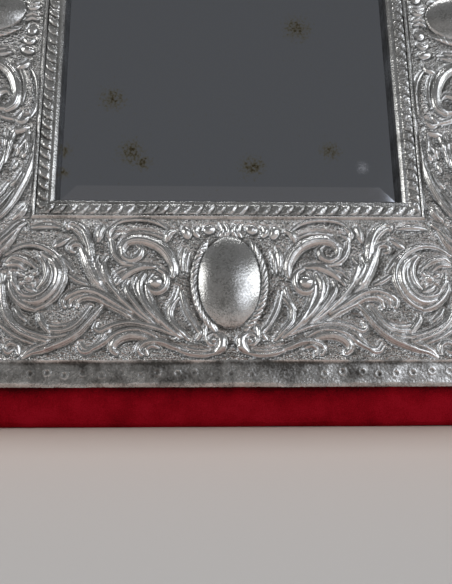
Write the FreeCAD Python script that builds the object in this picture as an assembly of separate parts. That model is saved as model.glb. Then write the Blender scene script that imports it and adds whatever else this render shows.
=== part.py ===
"""Free-standing mirror in an embossed silver-plated frame on a velvet-covered core, with an easel strut.

Every piece is drawn with the frame upright, on a bench. X runs along the frame, Y runs from the front to the
back with 0 at the front face of the wooden core, and Z runs up from the lower front edge of the velvet.
Around the mirror, "out" is the distance from the sight edge, where the glass meets the silver, outwards.
At the end the whole frame leans back onto its strut, and the origin is set in the middle of its stand.
"""

import FreeCAD
import Part
import math
import os

# Frame, seen from the front
SIGHT_WIDTH = 264.0
SIGHT_HEIGHT = 330.0
RAIL_WIDTH = 143.0
VELVET_MARGIN = 28.0

# Wooden core
CORE_DEPTH = 20.0
GLASS_LIP_WIDTH = 4.0
GLASS_LIP_DEPTH = 6.0
REBATE_CLEARANCE = 1.0
KEY_LEG = 60.0
KEY_THICKNESS = 4.0
GLUE_GAP = 0.05

# Velvet
VELVET_THICKNESS = 1.5
VELVET_TUCK = 14.0
VELVET_TURN = 25.0

# Embossed panels
SHEET_THICKNESS = 1.2
BORDER_WIDTH = 16.0
BORDER_STEP = 3.0
GROUND_HEIGHT = 5.0
BOSS_WIDTH = 46.0
BOSS_LENGTH = 69.8
BOSS_RISE = 8.0
BOSS_RIM_ANGLE = 50.0
BOSS_RINGS = 4
BOSS_SIDES = 28
BOSS_OUT = 66.0
COLLAR_WIDTH = 5.8
COLLAR_RISE = 2.2
RIB_SLOPE = 1.1
RIB_CREST = 3.0
RIB_ROOT = 0.6

# Gadrooned sight moulding
MOULDING_WIDTH = 17.2
LINING_THICKNESS = 0.8
LINING_CLEARANCE = 0.2
INNER_LIP_WIDTH = 3.6
INNER_LIP_HEIGHT = 4.5
GADROON_BAND = 9.4
GADROON_BASE = 5.4
GADROON_RISE = 2.6
GADROON_PITCH = 8.5
GADROON_SLANT = 58.0
GADROON_SHOULDER = 0.45
CORD_RADIUS = 1.8

# Mirror plate and backing
GLASS_THICKNESS = 4.0
BEVEL_WIDTH = 19.0
BEVEL_DROP = 1.8
CARD_THICKNESS = 2.0
BACKBOARD_THICKNESS = 5.0
SPRIG_WIDTH = 1.4
SPRIG_LENGTH = 15.0
SPRIG_BITE = 7.0
SPRIG_SPACING = 110.0

# Pins and tacks
NAIL_HEAD_SIDES = 6
PIN_HEAD_RADIUS = 1.4
PIN_HEAD_RISE = 0.8
PIN_SHANK_WIDTH = 1.0
PIN_BITE = 11.0
PIN_INSET = 22.0
PIN_SPACING = 98.0
TACK_HEAD_RADIUS = 4.0
TACK_HEAD_RISE = 1.8
TACK_SHANK_WIDTH = 1.4
TACK_BITE = 8.0
TACK_SPACING = 115.0

# Easel strut and its bracket
LEAN = 12.0
STRUT_OPENING = 22.0
STRUT_PIN_DROP = 118.0
STRUT_THICKNESS = 12.0
STRUT_HEAD_WIDTH = 64.0
STRUT_FOOT_WIDTH = 118.0
STRUT_HEAD_LENGTH = 16.0
STRUT_NECK_LENGTH = 60.0
STRUT_CLEARANCE = 2.5
STRUT_SIDE_CLEARANCE = 0.5
STRUT_EDGE_CHAMFER = 2.0
STOP_CLEARANCE = 0.1
BRACKET_THICKNESS = 2.5
BRACKET_HEIGHT = 44.0
BRACKET_WING = 18.0
EAR_REACH = 7.0
EAR_CHAMFER = 3.5
STRUT_PIN_RADIUS = 3.0
STRUT_PIN_CLEARANCE = 0.08
STRUT_PIN_HEAD_RADIUS = 4.5
STRUT_PIN_HEAD_RISE = 1.8

# Wood screws
SCREW_HEAD_RADIUS = 3.6
SCREW_HEAD_RISE = 1.6
SCREW_SHANK_WIDTH = 2.6
SCREW_BITE = 12.0
SCREW_SLOT_WIDTH = 0.9
SCREW_SLOT_DEPTH = 0.8

# Hanging ring and its strap
STRAP_LOOP_DROP = 64.0
STRAP_WIDTH = 14.0
STRAP_LENGTH = 34.0
STRAP_THICKNESS = 1.5
STRAP_SCREW_SPACING = 14.0
RING_WIRE_RADIUS = 1.8
RING_WIRE_SIDES = 4
RING_LOOP_CLEARANCE = 0.25
RING_RADIUS = 13.0
RING_CORNER_RADIUS = 5.0
RING_LEG = 8.0
RING_BOW_SIDES = 8

# Offsets out from the sight edge
CORE_OPENING = LINING_THICKNESS + LINING_CLEARANCE
REBATE_OUT = GLASS_LIP_WIDTH + REBATE_CLEARANCE
BOARD_OUT = RAIL_WIDTH + VELVET_MARGIN
CORE_OUT = BOARD_OUT - VELVET_THICKNESS
BORDER_OUT = RAIL_WIDTH - BORDER_WIDTH
FIELD_OUT = BORDER_OUT - BORDER_STEP
PIN_OUT = RAIL_WIDTH - PIN_INSET

# Depths behind the front face of the core
BEVEL_AT_LIP = BEVEL_DROP * (1.0 - GLASS_LIP_WIDTH / BEVEL_WIDTH)
GLASS_FRONT = GLASS_LIP_DEPTH - BEVEL_AT_LIP
GLASS_BACK = GLASS_FRONT + GLASS_THICKNESS
CARD_BACK = GLASS_BACK + CARD_THICKNESS
BACKBOARD_BACK = CARD_BACK + BACKBOARD_THICKNESS
VELVET_BACK = CORE_DEPTH + VELVET_THICKNESS
BRACKET_BACK = CORE_DEPTH + BRACKET_THICKNESS
STRUT_PIN_DEPTH = BRACKET_BACK + STRUT_CLEARANCE + STRUT_THICKNESS / 2.0
EAR_BACK = STRUT_PIN_DEPTH + EAR_REACH
STRAP_LOOP_RADIUS = RING_WIRE_RADIUS + RING_LOOP_CLEARANCE + STRAP_THICKNESS
STRAP_LOOP_DEPTH = CORE_DEPTH + STRAP_LOOP_RADIUS

# Heights above the lower front edge
CENTRE_HEIGHT = BOARD_OUT + SIGHT_HEIGHT / 2.0
BOARD_HEIGHT = 2.0 * CENTRE_HEIGHT
STRUT_PIN_HEIGHT = BOARD_HEIGHT - STRUT_PIN_DROP
STRAP_LOOP_HEIGHT = BOARD_HEIGHT - STRAP_LOOP_DROP

# Leaf ribs of the half panel right of the boss: (along, out, half width) from tip to tip
HALF_LENGTH_DRAWN = 132.0
LEAF_RIBS = {
    "crescent": [(47, 28.5, 0), (58, 23.8, 3.6), (74, 22.8, 3.8), (87, 27.5, 0)],
    "shell_scroll": [
        (42, 64, 0),
        (43.6, 50, 3.6),
        (54, 37.2, 4.4),
        (72, 33.4, 3.6),
        (80.6, 41, 2.4),
        (75, 49, 0),
    ],
    "scroll_leaf": [(88.4, 32, 0), (85.4, 44, 2.4), (74, 52.6, 2.4), (53, 55, 0)],
    "ball_volute": [(45.6, 66, 0), (52, 66.2, 6.8), (57.6, 66.2, 6.8), (63.6, 66, 0)],
    "inner_leaf": [(61, 72, 0), (58, 82, 2.8), (50, 95.5, 3.0), (35.5, 108.5, 0)],
    "middle_leaf": [(66.5, 58.5, 0), (71.5, 68.5, 4.2), (65, 84.5, 4.2), (49, 101, 0)],
    "outer_leaf": [(95, 44.5, 0), (94.4, 57.5, 4.4), (81, 77.5, 3.6), (50, 102, 0)],
    "hooked_plume": [(117.8, 43, 0), (111, 38.6, 2.2), (104.2, 53, 2.9), (86, 77, 0)],
    "tall_plume": [(121, 20.6, 0), (107.8, 30, 2.9), (101, 52, 0)],
    "curled_leaf": [(72, 90, 0), (94, 77, 3.0), (112, 75, 3.4), (119.4, 88, 0)],
    "rope_leaf": [(22.5, 107, 0), (31.4, 92.4, 2.3), (37, 72, 0)],
    "middle_scroll": [(43, 105, 0), (70, 97.4, 2.5), (86, 99.8, 2.3), (97.5, 103, 0)],
    "long_scroll": [(53, 108, 0), (71, 102.7, 2.5), (92, 112, 2.5), (108.5, 112.5, 0)],
    "low_scroll": [(60, 109.4, 0), (78, 108.8, 2.8), (84.6, 114, 2.2), (81.6, 121, 0)],
    "low_curl": [(29, 119, 0), (55, 111.8, 2.6), (64.6, 114.6, 2.2), (64, 121, 0)],
    "base_volute": [(17.5, 107.4, 0), (8.6, 106.8, 2.2), (6.6, 114, 2.9), (14, 119.4, 2.3), (36, 118, 0)],
    "pointed_stem": [(92.5, 84, 0), (105, 100, 2.6), (124, 112.8, 2.6), (148, 122.6, 0)],
    "cup": [(101, 84.5, 0), (113, 98.6, 2.5), (132, 101.6, 0)],
    "ring_stem": [(115, 104.6, 0), (143, 106.6, 2.9), (160.6, 91.5, 2.9), (164, 60, 0)],
    "volute_rim": [
        (165, 46, 0),
        (143, 38, 2.2),
        (126, 48.4, 2.2),
        (121.4, 65, 2.2),
        (131, 82.4, 2.2),
        (149, 83.6, 2.2),
        (160.4, 62, 0),
    ],
    "volute_leaf": [(140, 44.6, 0), (129.4, 56, 3.4), (131, 71, 4.0), (143, 78.4, 3.2), (156, 70, 0)],
    "volute_heart": [(137.4, 63, 0), (143.4, 62.8, 4.8), (149, 62.6, 4.8), (155, 62, 0)],
    "volute_swirl": [(139.4, 57.4, 0), (152, 49, 2.6), (164, 52.6, 0)],
    "corner_spine": [(149.6, 22.4, 0), (170, 42.8, 3.0), (212, 84.8, 3.0), (245, 117.8, 0)],
    "corner_lobe_high": [(162.6, 43, 0), (174, 59, 3.2), (169.6, 85, 0)],
    "corner_lobe_middle": [(178.6, 64, 0), (189, 82, 3.2), (178, 102, 0)],
    "corner_lobe_low": [(194.6, 80, 0), (205, 98.6, 3.2), (194, 113.6, 0)],
}

X_AXIS = FreeCAD.Vector(1, 0, 0)
Y_AXIS = FreeCAD.Vector(0, 1, 0)
Z_AXIS = FreeCAD.Vector(0, 0, 1)
ORIGIN = FreeCAD.Vector(0, 0, 0)

# Each side: half the sight edge along it, half the sight across it, and its turn about Y from the bottom
SIDES = {
    "bottom": (SIGHT_WIDTH / 2.0, SIGHT_HEIGHT / 2.0, 0.0),
    "right": (SIGHT_HEIGHT / 2.0, SIGHT_WIDTH / 2.0, -90.0),
    "top": (SIGHT_WIDTH / 2.0, SIGHT_HEIGHT / 2.0, 180.0),
    "left": (SIGHT_HEIGHT / 2.0, SIGHT_WIDTH / 2.0, 90.0),
}


def face_of(points):
    """A flat face with these corners."""
    corners = [FreeCAD.Vector(*p) for p in points]
    return Part.Face(Part.makePolygon(corners + corners[:1]))


def block(x, y, z):
    """A box between pairs of limits on each axis."""
    corner = FreeCAD.Vector(x[0], y[0], z[0])
    return Part.makeBox(x[1] - x[0], y[1] - y[0], z[1] - z[0], corner)


def rod(radius, start, direction, length):
    """A round bar from a point along a direction."""
    return Part.makeCylinder(radius, length, FreeCAD.Vector(*start), FreeCAD.Vector(*direction))


def solid_through(rings):
    """A flat-sided solid through a stack of rings of points with as many corners each."""
    faces = [face_of(rings[0]), face_of(rings[-1])]
    for low, high in zip(rings, rings[1:]):
        faces += [face_of([low[i - 1], low[i], high[i], high[i - 1]]) for i in range(len(low))]
    return Part.Solid(Part.Shell(faces))


def to_side(shape, side):
    """Turns a piece drawn below the sight's centre to its own side of the frame."""
    placed = shape.copy()
    placed.rotate(ORIGIN, Y_AXIS, SIDES[side][2])
    placed.translate(FreeCAD.Vector(0, 0, CENTRE_HEIGHT))
    return placed


def mitre_wedge(side, least_out, most_out, depth):
    """The space between the two mitres of a side, for a range of offsets and depths."""
    along, across, _ = SIDES[side]
    corners = [(-1, most_out), (1, most_out), (1, least_out), (-1, least_out)]
    outline = [(sign * (along + out), depth[0], -across - out) for sign, out in corners]
    return face_of(outline).extrude(FreeCAD.Vector(0, depth[1] - depth[0], 0))


def mitred_bar(profile, side):
    """A bar whose section is a list of (out, depth) points, with mitred ends, below the sight's centre."""
    along, across, _ = SIDES[side]
    outs = [out for out, _ in profile]
    depths = [depth for _, depth in profile]
    reach = along + max(outs)
    section = face_of([(-reach, depth, -across - out) for out, depth in profile])
    bar = section.extrude(FreeCAD.Vector(2.0 * reach, 0, 0))
    return bar.common(mitre_wedge(side, min(outs), max(outs), (min(depths), max(depths))))


def below(plane_height, back=2.0 * CORE_DEPTH):
    """Everything under the planed underside, raised by a height measured square to it."""
    slope = math.tan(math.radians(LEAN))
    lift = plane_height / math.cos(math.radians(LEAN))
    front = -CORE_DEPTH
    reach = SIGHT_WIDTH / 2.0 + 2.0 * BOARD_OUT
    floor = -2.0 * CORE_DEPTH
    outline = [
        (-reach, front, floor),
        (-reach, back, floor),
        (-reach, back, (back + VELVET_THICKNESS) * slope + lift),
        (-reach, front, (front + VELVET_THICKNESS) * slope + lift),
    ]
    return face_of(outline).extrude(FreeCAD.Vector(2.0 * reach, 0, 0))


def spaced(half_length, spacing):
    """Places along a side, evenly about its middle and inside its half length."""
    count = int(half_length // spacing)
    return [i * spacing for i in range(-count, count + 1)]


def corner_keys():
    """Four feathers glued into slots across the mitres of the core."""
    keys = []
    middle = CORE_DEPTH / 2.0
    depth = (middle - KEY_THICKNESS / 2.0, middle + KEY_THICKNESS / 2.0)
    right = SIGHT_WIDTH / 2.0 + CORE_OUT
    top = SIGHT_HEIGHT / 2.0 + CORE_OUT
    for across in (-1, 1):
        for up in (-1, 1):
            corner = [
                (across * right, depth[0], CENTRE_HEIGHT + up * top),
                (across * (right - KEY_LEG), depth[0], CENTRE_HEIGHT + up * top),
                (across * right, depth[0], CENTRE_HEIGHT + up * (top - KEY_LEG)),
            ]
            key = face_of(corner).extrude(FreeCAD.Vector(0, KEY_THICKNESS, 0))
            keys.append(key.cut(below(VELVET_THICKNESS)))
    return keys


def key_slots():
    """The slots for the corner keys, a little thicker than the keys."""
    slots = []
    scale = (KEY_THICKNESS + 2.0 * GLUE_GAP) / KEY_THICKNESS
    for key in corner_keys():
        grow = FreeCAD.Matrix()
        grow.scale(1, scale, 1)
        slot = key.copy()
        slot.translate(FreeCAD.Vector(0, -CORE_DEPTH / 2.0, 0))
        slot = slot.transformGeometry(grow)
        slot.translate(FreeCAD.Vector(0, CORE_DEPTH / 2.0, 0))
        slots.append(slot)
    return slots


def core_rail(side):
    """One mitred rail of the wooden core, rebated for the glass."""
    profile = [
        (CORE_OPENING, 0),
        (CORE_OUT, 0),
        (CORE_OUT, CORE_DEPTH),
        (REBATE_OUT, CORE_DEPTH),
        (REBATE_OUT, GLASS_LIP_DEPTH),
        (CORE_OPENING, GLASS_LIP_DEPTH),
    ]
    rail = to_side(mitred_bar(profile, side), side)
    return rail.cut(below(VELVET_THICKNESS)).cut(Part.makeCompound(key_slots()))


def velvet_strip(side):
    """Velvet round one rail, tucked under the silver and turned onto the back."""
    tuck = RAIL_WIDTH - VELVET_TUCK
    turn = CORE_OUT - VELVET_TURN
    profile = [
        (tuck, -VELVET_THICKNESS),
        (BOARD_OUT, -VELVET_THICKNESS),
        (BOARD_OUT, VELVET_BACK),
        (turn, VELVET_BACK),
        (turn, CORE_DEPTH),
        (CORE_OUT, CORE_DEPTH),
        (CORE_OUT, 0),
        (tuck, 0),
    ]
    strip = to_side(mitred_bar(profile, side), side)
    if side == "bottom":
        half = SIGHT_WIDTH / 2.0 + BOARD_OUT
        sole = block((-half, half), (-VELVET_THICKNESS, VELVET_BACK), (-CORE_DEPTH, CORE_DEPTH))
        sole = sole.common(below(VELVET_THICKNESS)).cut(below(0))
        return strip.cut(below(VELVET_THICKNESS)).fuse(sole).removeSplitter()
    return strip.cut(below(VELVET_THICKNESS))


def oval(half_width, half_length, depth):
    """Points round an upright oval at a depth."""
    turns = [2.0 * math.pi * i / BOSS_SIDES for i in range(BOSS_SIDES)]
    return [(half_width * math.cos(t), depth, half_length * math.sin(t)) for t in turns]


def boss(across):
    """The oval boss of a panel, domed in rings, with its raised collar."""
    half_width, half_length = BOSS_WIDTH / 2.0, BOSS_LENGTH / 2.0
    rim_angle = math.radians(BOSS_RIM_ANGLE)
    collar = (half_width + COLLAR_WIDTH, half_length + COLLAR_WIDTH)
    rings = [oval(*collar, depth) for depth in (RIB_ROOT, -COLLAR_RISE)]
    for i in range(BOSS_RINGS):
        angle = rim_angle * (1.0 - i / BOSS_RINGS)
        share = math.sin(angle) / math.sin(rim_angle)
        rise = BOSS_RISE * (math.cos(angle) - math.cos(rim_angle)) / (1.0 - math.cos(rim_angle))
        rings.append(oval(half_width * share, half_length * share, -COLLAR_RISE - rise))
    shape = solid_through(rings)
    shape.translate(FreeCAD.Vector(0, -GROUND_HEIGHT, -across - BOSS_OUT))
    return shape


def leaf_rib(points, stretch, hand, across):
    """A ridged leaf or scroll that follows points on the ground, pointed at both ends, in flat facets."""
    root = RIB_ROOT - GROUND_HEIGHT
    route = [FreeCAD.Vector(hand * stretch * along, root, -across - out) for along, out, _ in points]
    rings = []
    for before, (_, _, half_width), place, after in zip(route, points[1:], route[1:], route[2:]):
        square = (after - before).normalize().cross(Y_AXIS) * half_width
        crest = Y_AXIS * (RIB_ROOT + min(RIB_SLOPE * half_width, RIB_CREST))
        rings.append([place + square, place - crest, place - square])
    faces = []
    for tip, ring in ((route[0], rings[0]), (route[-1], rings[-1])):
        faces += [face_of([tip, ring[k - 1], ring[k]]) for k in range(3)]
    for low, high in zip(rings, rings[1:]):
        for k in range(3):
            faces += [face_of([low[k - 1], low[k], high[k]]), face_of([low[k - 1], high[k], high[k - 1]])]
    return Part.Solid(Part.Shell(faces))


def leaf_ribs(side):
    """The main leaves and scrolls on both sides of a panel's boss, drawn out to the panel's length."""
    along, across, _ = SIDES[side]
    stretch = (along + RAIL_WIDTH) / (HALF_LENGTH_DRAWN + RAIL_WIDTH)
    return [leaf_rib(points, stretch, hand, across) for points in LEAF_RIBS.values() for hand in (-1, 1)]


def embossed_panel(side):
    """One mitred panel of the silver-plated sheet: border, step, ground, leaf ribs and central boss."""
    border_front = -VELVET_THICKNESS - SHEET_THICKNESS
    profile = [
        (RAIL_WIDTH, -VELVET_THICKNESS),
        (RAIL_WIDTH, border_front),
        (BORDER_OUT, border_front),
        (FIELD_OUT, -GROUND_HEIGHT),
        (MOULDING_WIDTH, -GROUND_HEIGHT),
        (MOULDING_WIDTH, 0),
        (MOULDING_WIDTH + SHEET_THICKNESS, 0),
        (MOULDING_WIDTH + SHEET_THICKNESS, SHEET_THICKNESS - GROUND_HEIGHT),
        (FIELD_OUT - SHEET_THICKNESS, SHEET_THICKNESS - GROUND_HEIGHT),
        (BORDER_OUT - SHEET_THICKNESS, -VELVET_THICKNESS),
    ]
    panel = mitred_bar(profile, side)
    return to_side(panel.multiFuse([boss(SIDES[side][1])] + leaf_ribs(side)), side)


def gadroons(side):
    """Slanted lobes along the sight moulding, at the pitch that fits the side."""
    along, across, _ = SIDES[side]
    middle = INNER_LIP_WIDTH + GADROON_BAND / 2.0
    count = int(round(2.0 * (along + middle) / GADROON_PITCH))
    pitch = 2.0 * (along + middle) / count
    half_width = pitch / 2.0
    drift = GADROON_BAND / math.tan(math.radians(GADROON_SLANT))
    foot, crown = -GADROON_BASE / 2.0, -GADROON_BASE - GADROON_RISE
    lobes = []
    for i in range(count):
        x = (i + 0.5) * pitch - along - middle - drift / 2.0
        z = -across - INNER_LIP_WIDTH - GADROON_BAND
        section = [
            (x - half_width, foot, z),
            (x - half_width, -GADROON_BASE, z),
            (x - GADROON_SHOULDER * half_width, crown, z),
            (x + GADROON_SHOULDER * half_width, crown, z),
            (x + half_width, -GADROON_BASE, z),
            (x + half_width, foot, z),
        ]
        lobes.append(face_of(section).extrude(FreeCAD.Vector(drift, 0, GADROON_BAND)))
    return lobes


def sight_moulding(side):
    """One mitred strip of the gadrooned moulding, with the lining that turns in to the glass."""
    gadroon_out = INNER_LIP_WIDTH + GADROON_BAND
    profile = [
        (0, GLASS_LIP_DEPTH - LINING_CLEARANCE),
        (0, -INNER_LIP_HEIGHT),
        (INNER_LIP_WIDTH, -INNER_LIP_HEIGHT),
        (INNER_LIP_WIDTH, -GADROON_BASE),
        (gadroon_out, -GADROON_BASE),
        (MOULDING_WIDTH, -GADROON_BASE),
        (MOULDING_WIDTH, 0),
        (LINING_THICKNESS, 0),
        (LINING_THICKNESS, GLASS_LIP_DEPTH - LINING_CLEARANCE),
    ]
    strip = mitred_bar(profile, side)
    wedge = mitre_wedge(side, 0, MOULDING_WIDTH, (-3.0 * GADROON_BASE, GLASS_LIP_DEPTH))
    along, across, _ = SIDES[side]
    start = (-along - MOULDING_WIDTH, -GADROON_BASE, -across - (gadroon_out + MOULDING_WIDTH) / 2.0)
    cord = rod(CORD_RADIUS, start, (1, 0, 0), 2.0 * (along + MOULDING_WIDTH))
    raised = [shape.common(wedge) for shape in gadroons(side) + [cord]]
    return to_side(strip.multiFuse(raised).removeSplitter(), side)


def mirror_plate():
    """The glass, bevelled on its front edges."""
    half_width = SIGHT_WIDTH / 2.0 + GLASS_LIP_WIDTH
    half_height = SIGHT_HEIGHT / 2.0 + GLASS_LIP_WIDTH
    rings = []
    for inset, depth in ((0, GLASS_BACK), (0, GLASS_FRONT + BEVEL_DROP), (BEVEL_WIDTH, GLASS_FRONT)):
        x, z = half_width - inset, half_height - inset
        rings.append([(a * x, depth, CENTRE_HEIGHT + b * z) for a, b in ((-1, -1), (1, -1), (1, 1), (-1, 1))])
    return solid_through(rings)


def backing(front, back):
    """A board the size of the glass, between two depths."""
    half_width = SIGHT_WIDTH / 2.0 + GLASS_LIP_WIDTH
    half_height = SIGHT_HEIGHT / 2.0 + GLASS_LIP_WIDTH
    height = (CENTRE_HEIGHT - half_height, CENTRE_HEIGHT + half_height)
    return block((-half_width, half_width), (front, back), height)


def sprigs():
    """Headless nails in the rebate that hold the backboard."""
    nails = []
    half = SPRIG_WIDTH / 2.0
    for side, (along, across, _) in SIDES.items():
        for x in spaced(along, SPRIG_SPACING):
            low = -across - REBATE_OUT - SPRIG_BITE
            depth = (BACKBOARD_BACK, BACKBOARD_BACK + SPRIG_WIDTH)
            nails.append(to_side(block((x - half, x + half), depth, (low, low + SPRIG_LENGTH)), side))
    return nails


def wrought_nail(place, head_radius, head_rise, shank_width, bite, way):
    """A nail with a hammered, many-sided head on a place and a square shank that runs a way along Y."""
    x, y, z = place
    rings = []
    for radius, rise in ((head_radius, 0), (head_radius / 2.0, head_rise)):
        turns = [2.0 * math.pi * (i + 0.5) / NAIL_HEAD_SIDES for i in range(NAIL_HEAD_SIDES)]
        rings.append([(x + radius * math.cos(t), y - way * rise, z + radius * math.sin(t)) for t in turns])
    head = solid_through(rings)
    half = shank_width / 2.0
    depth = sorted((y, y + way * bite))
    return head.fuse(block((x - half, x + half), depth, (z - half, z + half)))


def silver_pins(side):
    """The small pins along the foot of a panel's ground."""
    along, across, _ = SIDES[side]
    pins = []
    for x in spaced(along + PIN_OUT - PIN_SPACING / 2.0, PIN_SPACING):
        place = (x, -GROUND_HEIGHT, -across - PIN_OUT)
        pin = wrought_nail(place, PIN_HEAD_RADIUS, PIN_HEAD_RISE, PIN_SHANK_WIDTH, PIN_BITE, 1)
        pins.append(to_side(pin, side))
    return pins


def velvet_tacks():
    """The tacks that hold the turned edge of the velvet at the back."""
    tacks = []
    out = CORE_OUT - VELVET_TURN / 2.0
    for side, (along, across, _) in SIDES.items():
        for x in spaced(along + out - TACK_SPACING / 3.0, TACK_SPACING):
            place = (x, VELVET_BACK, -across - out)
            tack = wrought_nail(place, TACK_HEAD_RADIUS, TACK_HEAD_RISE, TACK_SHANK_WIDTH, TACK_BITE, -1)
            tacks.append(to_side(tack, side))
    return tacks


def wood_screw(place):
    """A slotted screw driven forwards from a place on a plate at the back, without its thread."""
    screw = wrought_nail(place, SCREW_HEAD_RADIUS, SCREW_HEAD_RISE, SCREW_SHANK_WIDTH, SCREW_BITE, -1)
    x, y, z = place
    half = SCREW_SLOT_WIDTH / 2.0
    slot = block(
        (x - SCREW_HEAD_RADIUS, x + SCREW_HEAD_RADIUS),
        (y + SCREW_HEAD_RISE - SCREW_SLOT_DEPTH, y + 2.0 * SCREW_HEAD_RISE),
        (z - half, z + half),
    )
    return screw.cut(slot)


def ear_places():
    """The inner faces of the bracket's two ears, left and right."""
    inner = STRUT_HEAD_WIDTH / 2.0 + STRUT_SIDE_CLEARANCE
    return (-inner - BRACKET_THICKNESS, inner)


def bracket_screws():
    """Four screws through the wings of the strut bracket."""
    reach = STRUT_HEAD_WIDTH / 2.0 + STRUT_SIDE_CLEARANCE + BRACKET_THICKNESS + BRACKET_WING / 2.0
    rise = BRACKET_HEIGHT / 4.0
    places = [(x * reach, BRACKET_BACK, STRUT_PIN_HEIGHT + z * rise) for x in (-1, 1) for z in (-1, 1)]
    return [wood_screw(place) for place in places]


def strut_bracket():
    """A bent brass plate with two ears that carry the strut's pin."""
    reach = STRUT_HEAD_WIDTH / 2.0 + STRUT_SIDE_CLEARANCE + BRACKET_THICKNESS + BRACKET_WING
    low, high = STRUT_PIN_HEIGHT - BRACKET_HEIGHT / 2.0, STRUT_PIN_HEIGHT + BRACKET_HEIGHT / 2.0
    plate = block((-reach, reach), (CORE_DEPTH, BRACKET_BACK), (low, high))
    ears = []
    for left in ear_places():
        outline = [
            (left, BRACKET_BACK, STRUT_PIN_HEIGHT - EAR_REACH),
            (left, EAR_BACK - EAR_CHAMFER, STRUT_PIN_HEIGHT - EAR_REACH),
            (left, EAR_BACK, STRUT_PIN_HEIGHT - EAR_REACH + EAR_CHAMFER),
            (left, EAR_BACK, STRUT_PIN_HEIGHT + EAR_REACH - EAR_CHAMFER),
            (left, EAR_BACK - EAR_CHAMFER, STRUT_PIN_HEIGHT + EAR_REACH),
            (left, BRACKET_BACK, STRUT_PIN_HEIGHT + EAR_REACH),
        ]
        ears.append(face_of(outline).extrude(FreeCAD.Vector(BRACKET_THICKNESS, 0, 0)))
    bracket = plate.multiFuse(ears).removeSplitter()
    holes = [rod(STRUT_PIN_RADIUS, (-reach, STRUT_PIN_DEPTH, STRUT_PIN_HEIGHT), (1, 0, 0), 2.0 * reach)]
    return bracket.cut(Part.makeCompound(holes + bracket_screws()))


def strut_pin():
    """The steel pin through the bracket's ears, hammered over at both ends."""
    outer = ear_places()[1] + BRACKET_THICKNESS
    pin = rod(STRUT_PIN_RADIUS, (-outer, STRUT_PIN_DEPTH, STRUT_PIN_HEIGHT), (1, 0, 0), 2.0 * outer)
    turns = [2.0 * math.pi * i / NAIL_HEAD_SIDES for i in range(NAIL_HEAD_SIDES)]
    ring = [(STRUT_PIN_HEAD_RADIUS * math.cos(t), STRUT_PIN_HEAD_RADIUS * math.sin(t)) for t in turns]
    heads = []
    for way in (-1, 1):
        head = face_of([(way * outer, STRUT_PIN_DEPTH + y, STRUT_PIN_HEIGHT + z) for y, z in ring])
        heads.append(head.extrude(FreeCAD.Vector(way * STRUT_PIN_HEAD_RISE, 0, 0)))
    return pin.multiFuse(heads)


def easel_strut():
    """The wooden strut, standing open. Its head is planed to meet the bracket, which stops it there."""
    half = STRUT_THICKNESS / 2.0
    head, foot = STRUT_HEAD_WIDTH / 2.0, STRUT_FOOT_WIDTH / 2.0
    length = STRUT_PIN_HEIGHT
    outline = [
        (-head, -half, STRUT_HEAD_LENGTH),
        (head, -half, STRUT_HEAD_LENGTH),
        (head, -half, -STRUT_NECK_LENGTH),
        (foot, -half, -length),
        (-foot, -half, -length),
        (-head, -half, -STRUT_NECK_LENGTH),
    ]
    plank = face_of(outline).extrude(FreeCAD.Vector(0, STRUT_THICKNESS, 0))
    long_edges = [
        edge
        for edge in plank.Edges
        if abs(edge.tangentAt(edge.FirstParameter).y) < 0.5 and edge.BoundBox.ZLength > STRUT_HEAD_WIDTH
    ]
    plank = plank.makeChamfer(STRUT_EDGE_CHAMFER, long_edges)
    bore = rod(STRUT_PIN_RADIUS + STRUT_PIN_CLEARANCE, (-foot, 0, 0), (1, 0, 0), 2.0 * foot)
    plank = plank.cut(bore)
    plank.rotate(ORIGIN, X_AXIS, STRUT_OPENING)
    plank.translate(FreeCAD.Vector(0, STRUT_PIN_DEPTH, STRUT_PIN_HEIGHT))
    ahead = block((-foot, foot), (-CORE_DEPTH, BRACKET_BACK + STOP_CLEARANCE), (0, 2.0 * length))
    return plank.cut(ahead).cut(below(0, length))


def strap_screws():
    """Two screws through the hanging strap."""
    middle = STRAP_LOOP_HEIGHT + STRAP_LENGTH / 2.0
    heights = (middle - STRAP_SCREW_SPACING / 2.0, middle + STRAP_SCREW_SPACING / 2.0)
    return [wood_screw((0, CORE_DEPTH + STRAP_THICKNESS, height)) for height in heights]


def hanging_strap():
    """A brass strap folded round the ring's bar and screwed to the top rail."""
    half = STRAP_WIDTH / 2.0
    height = (STRAP_LOOP_HEIGHT, STRAP_LOOP_HEIGHT + STRAP_LENGTH)
    plate = block((-half, half), (CORE_DEPTH, CORE_DEPTH + STRAP_THICKNESS), height)
    start = (-half, STRAP_LOOP_DEPTH, STRAP_LOOP_HEIGHT)
    loop = rod(STRAP_LOOP_RADIUS, start, (1, 0, 0), STRAP_WIDTH)
    eye = rod(STRAP_LOOP_RADIUS - STRAP_THICKNESS, start, (1, 0, 0), STRAP_WIDTH)
    strap = plate.fuse(loop).removeSplitter()
    return strap.cut(Part.makeCompound([eye] + strap_screws()))


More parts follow.
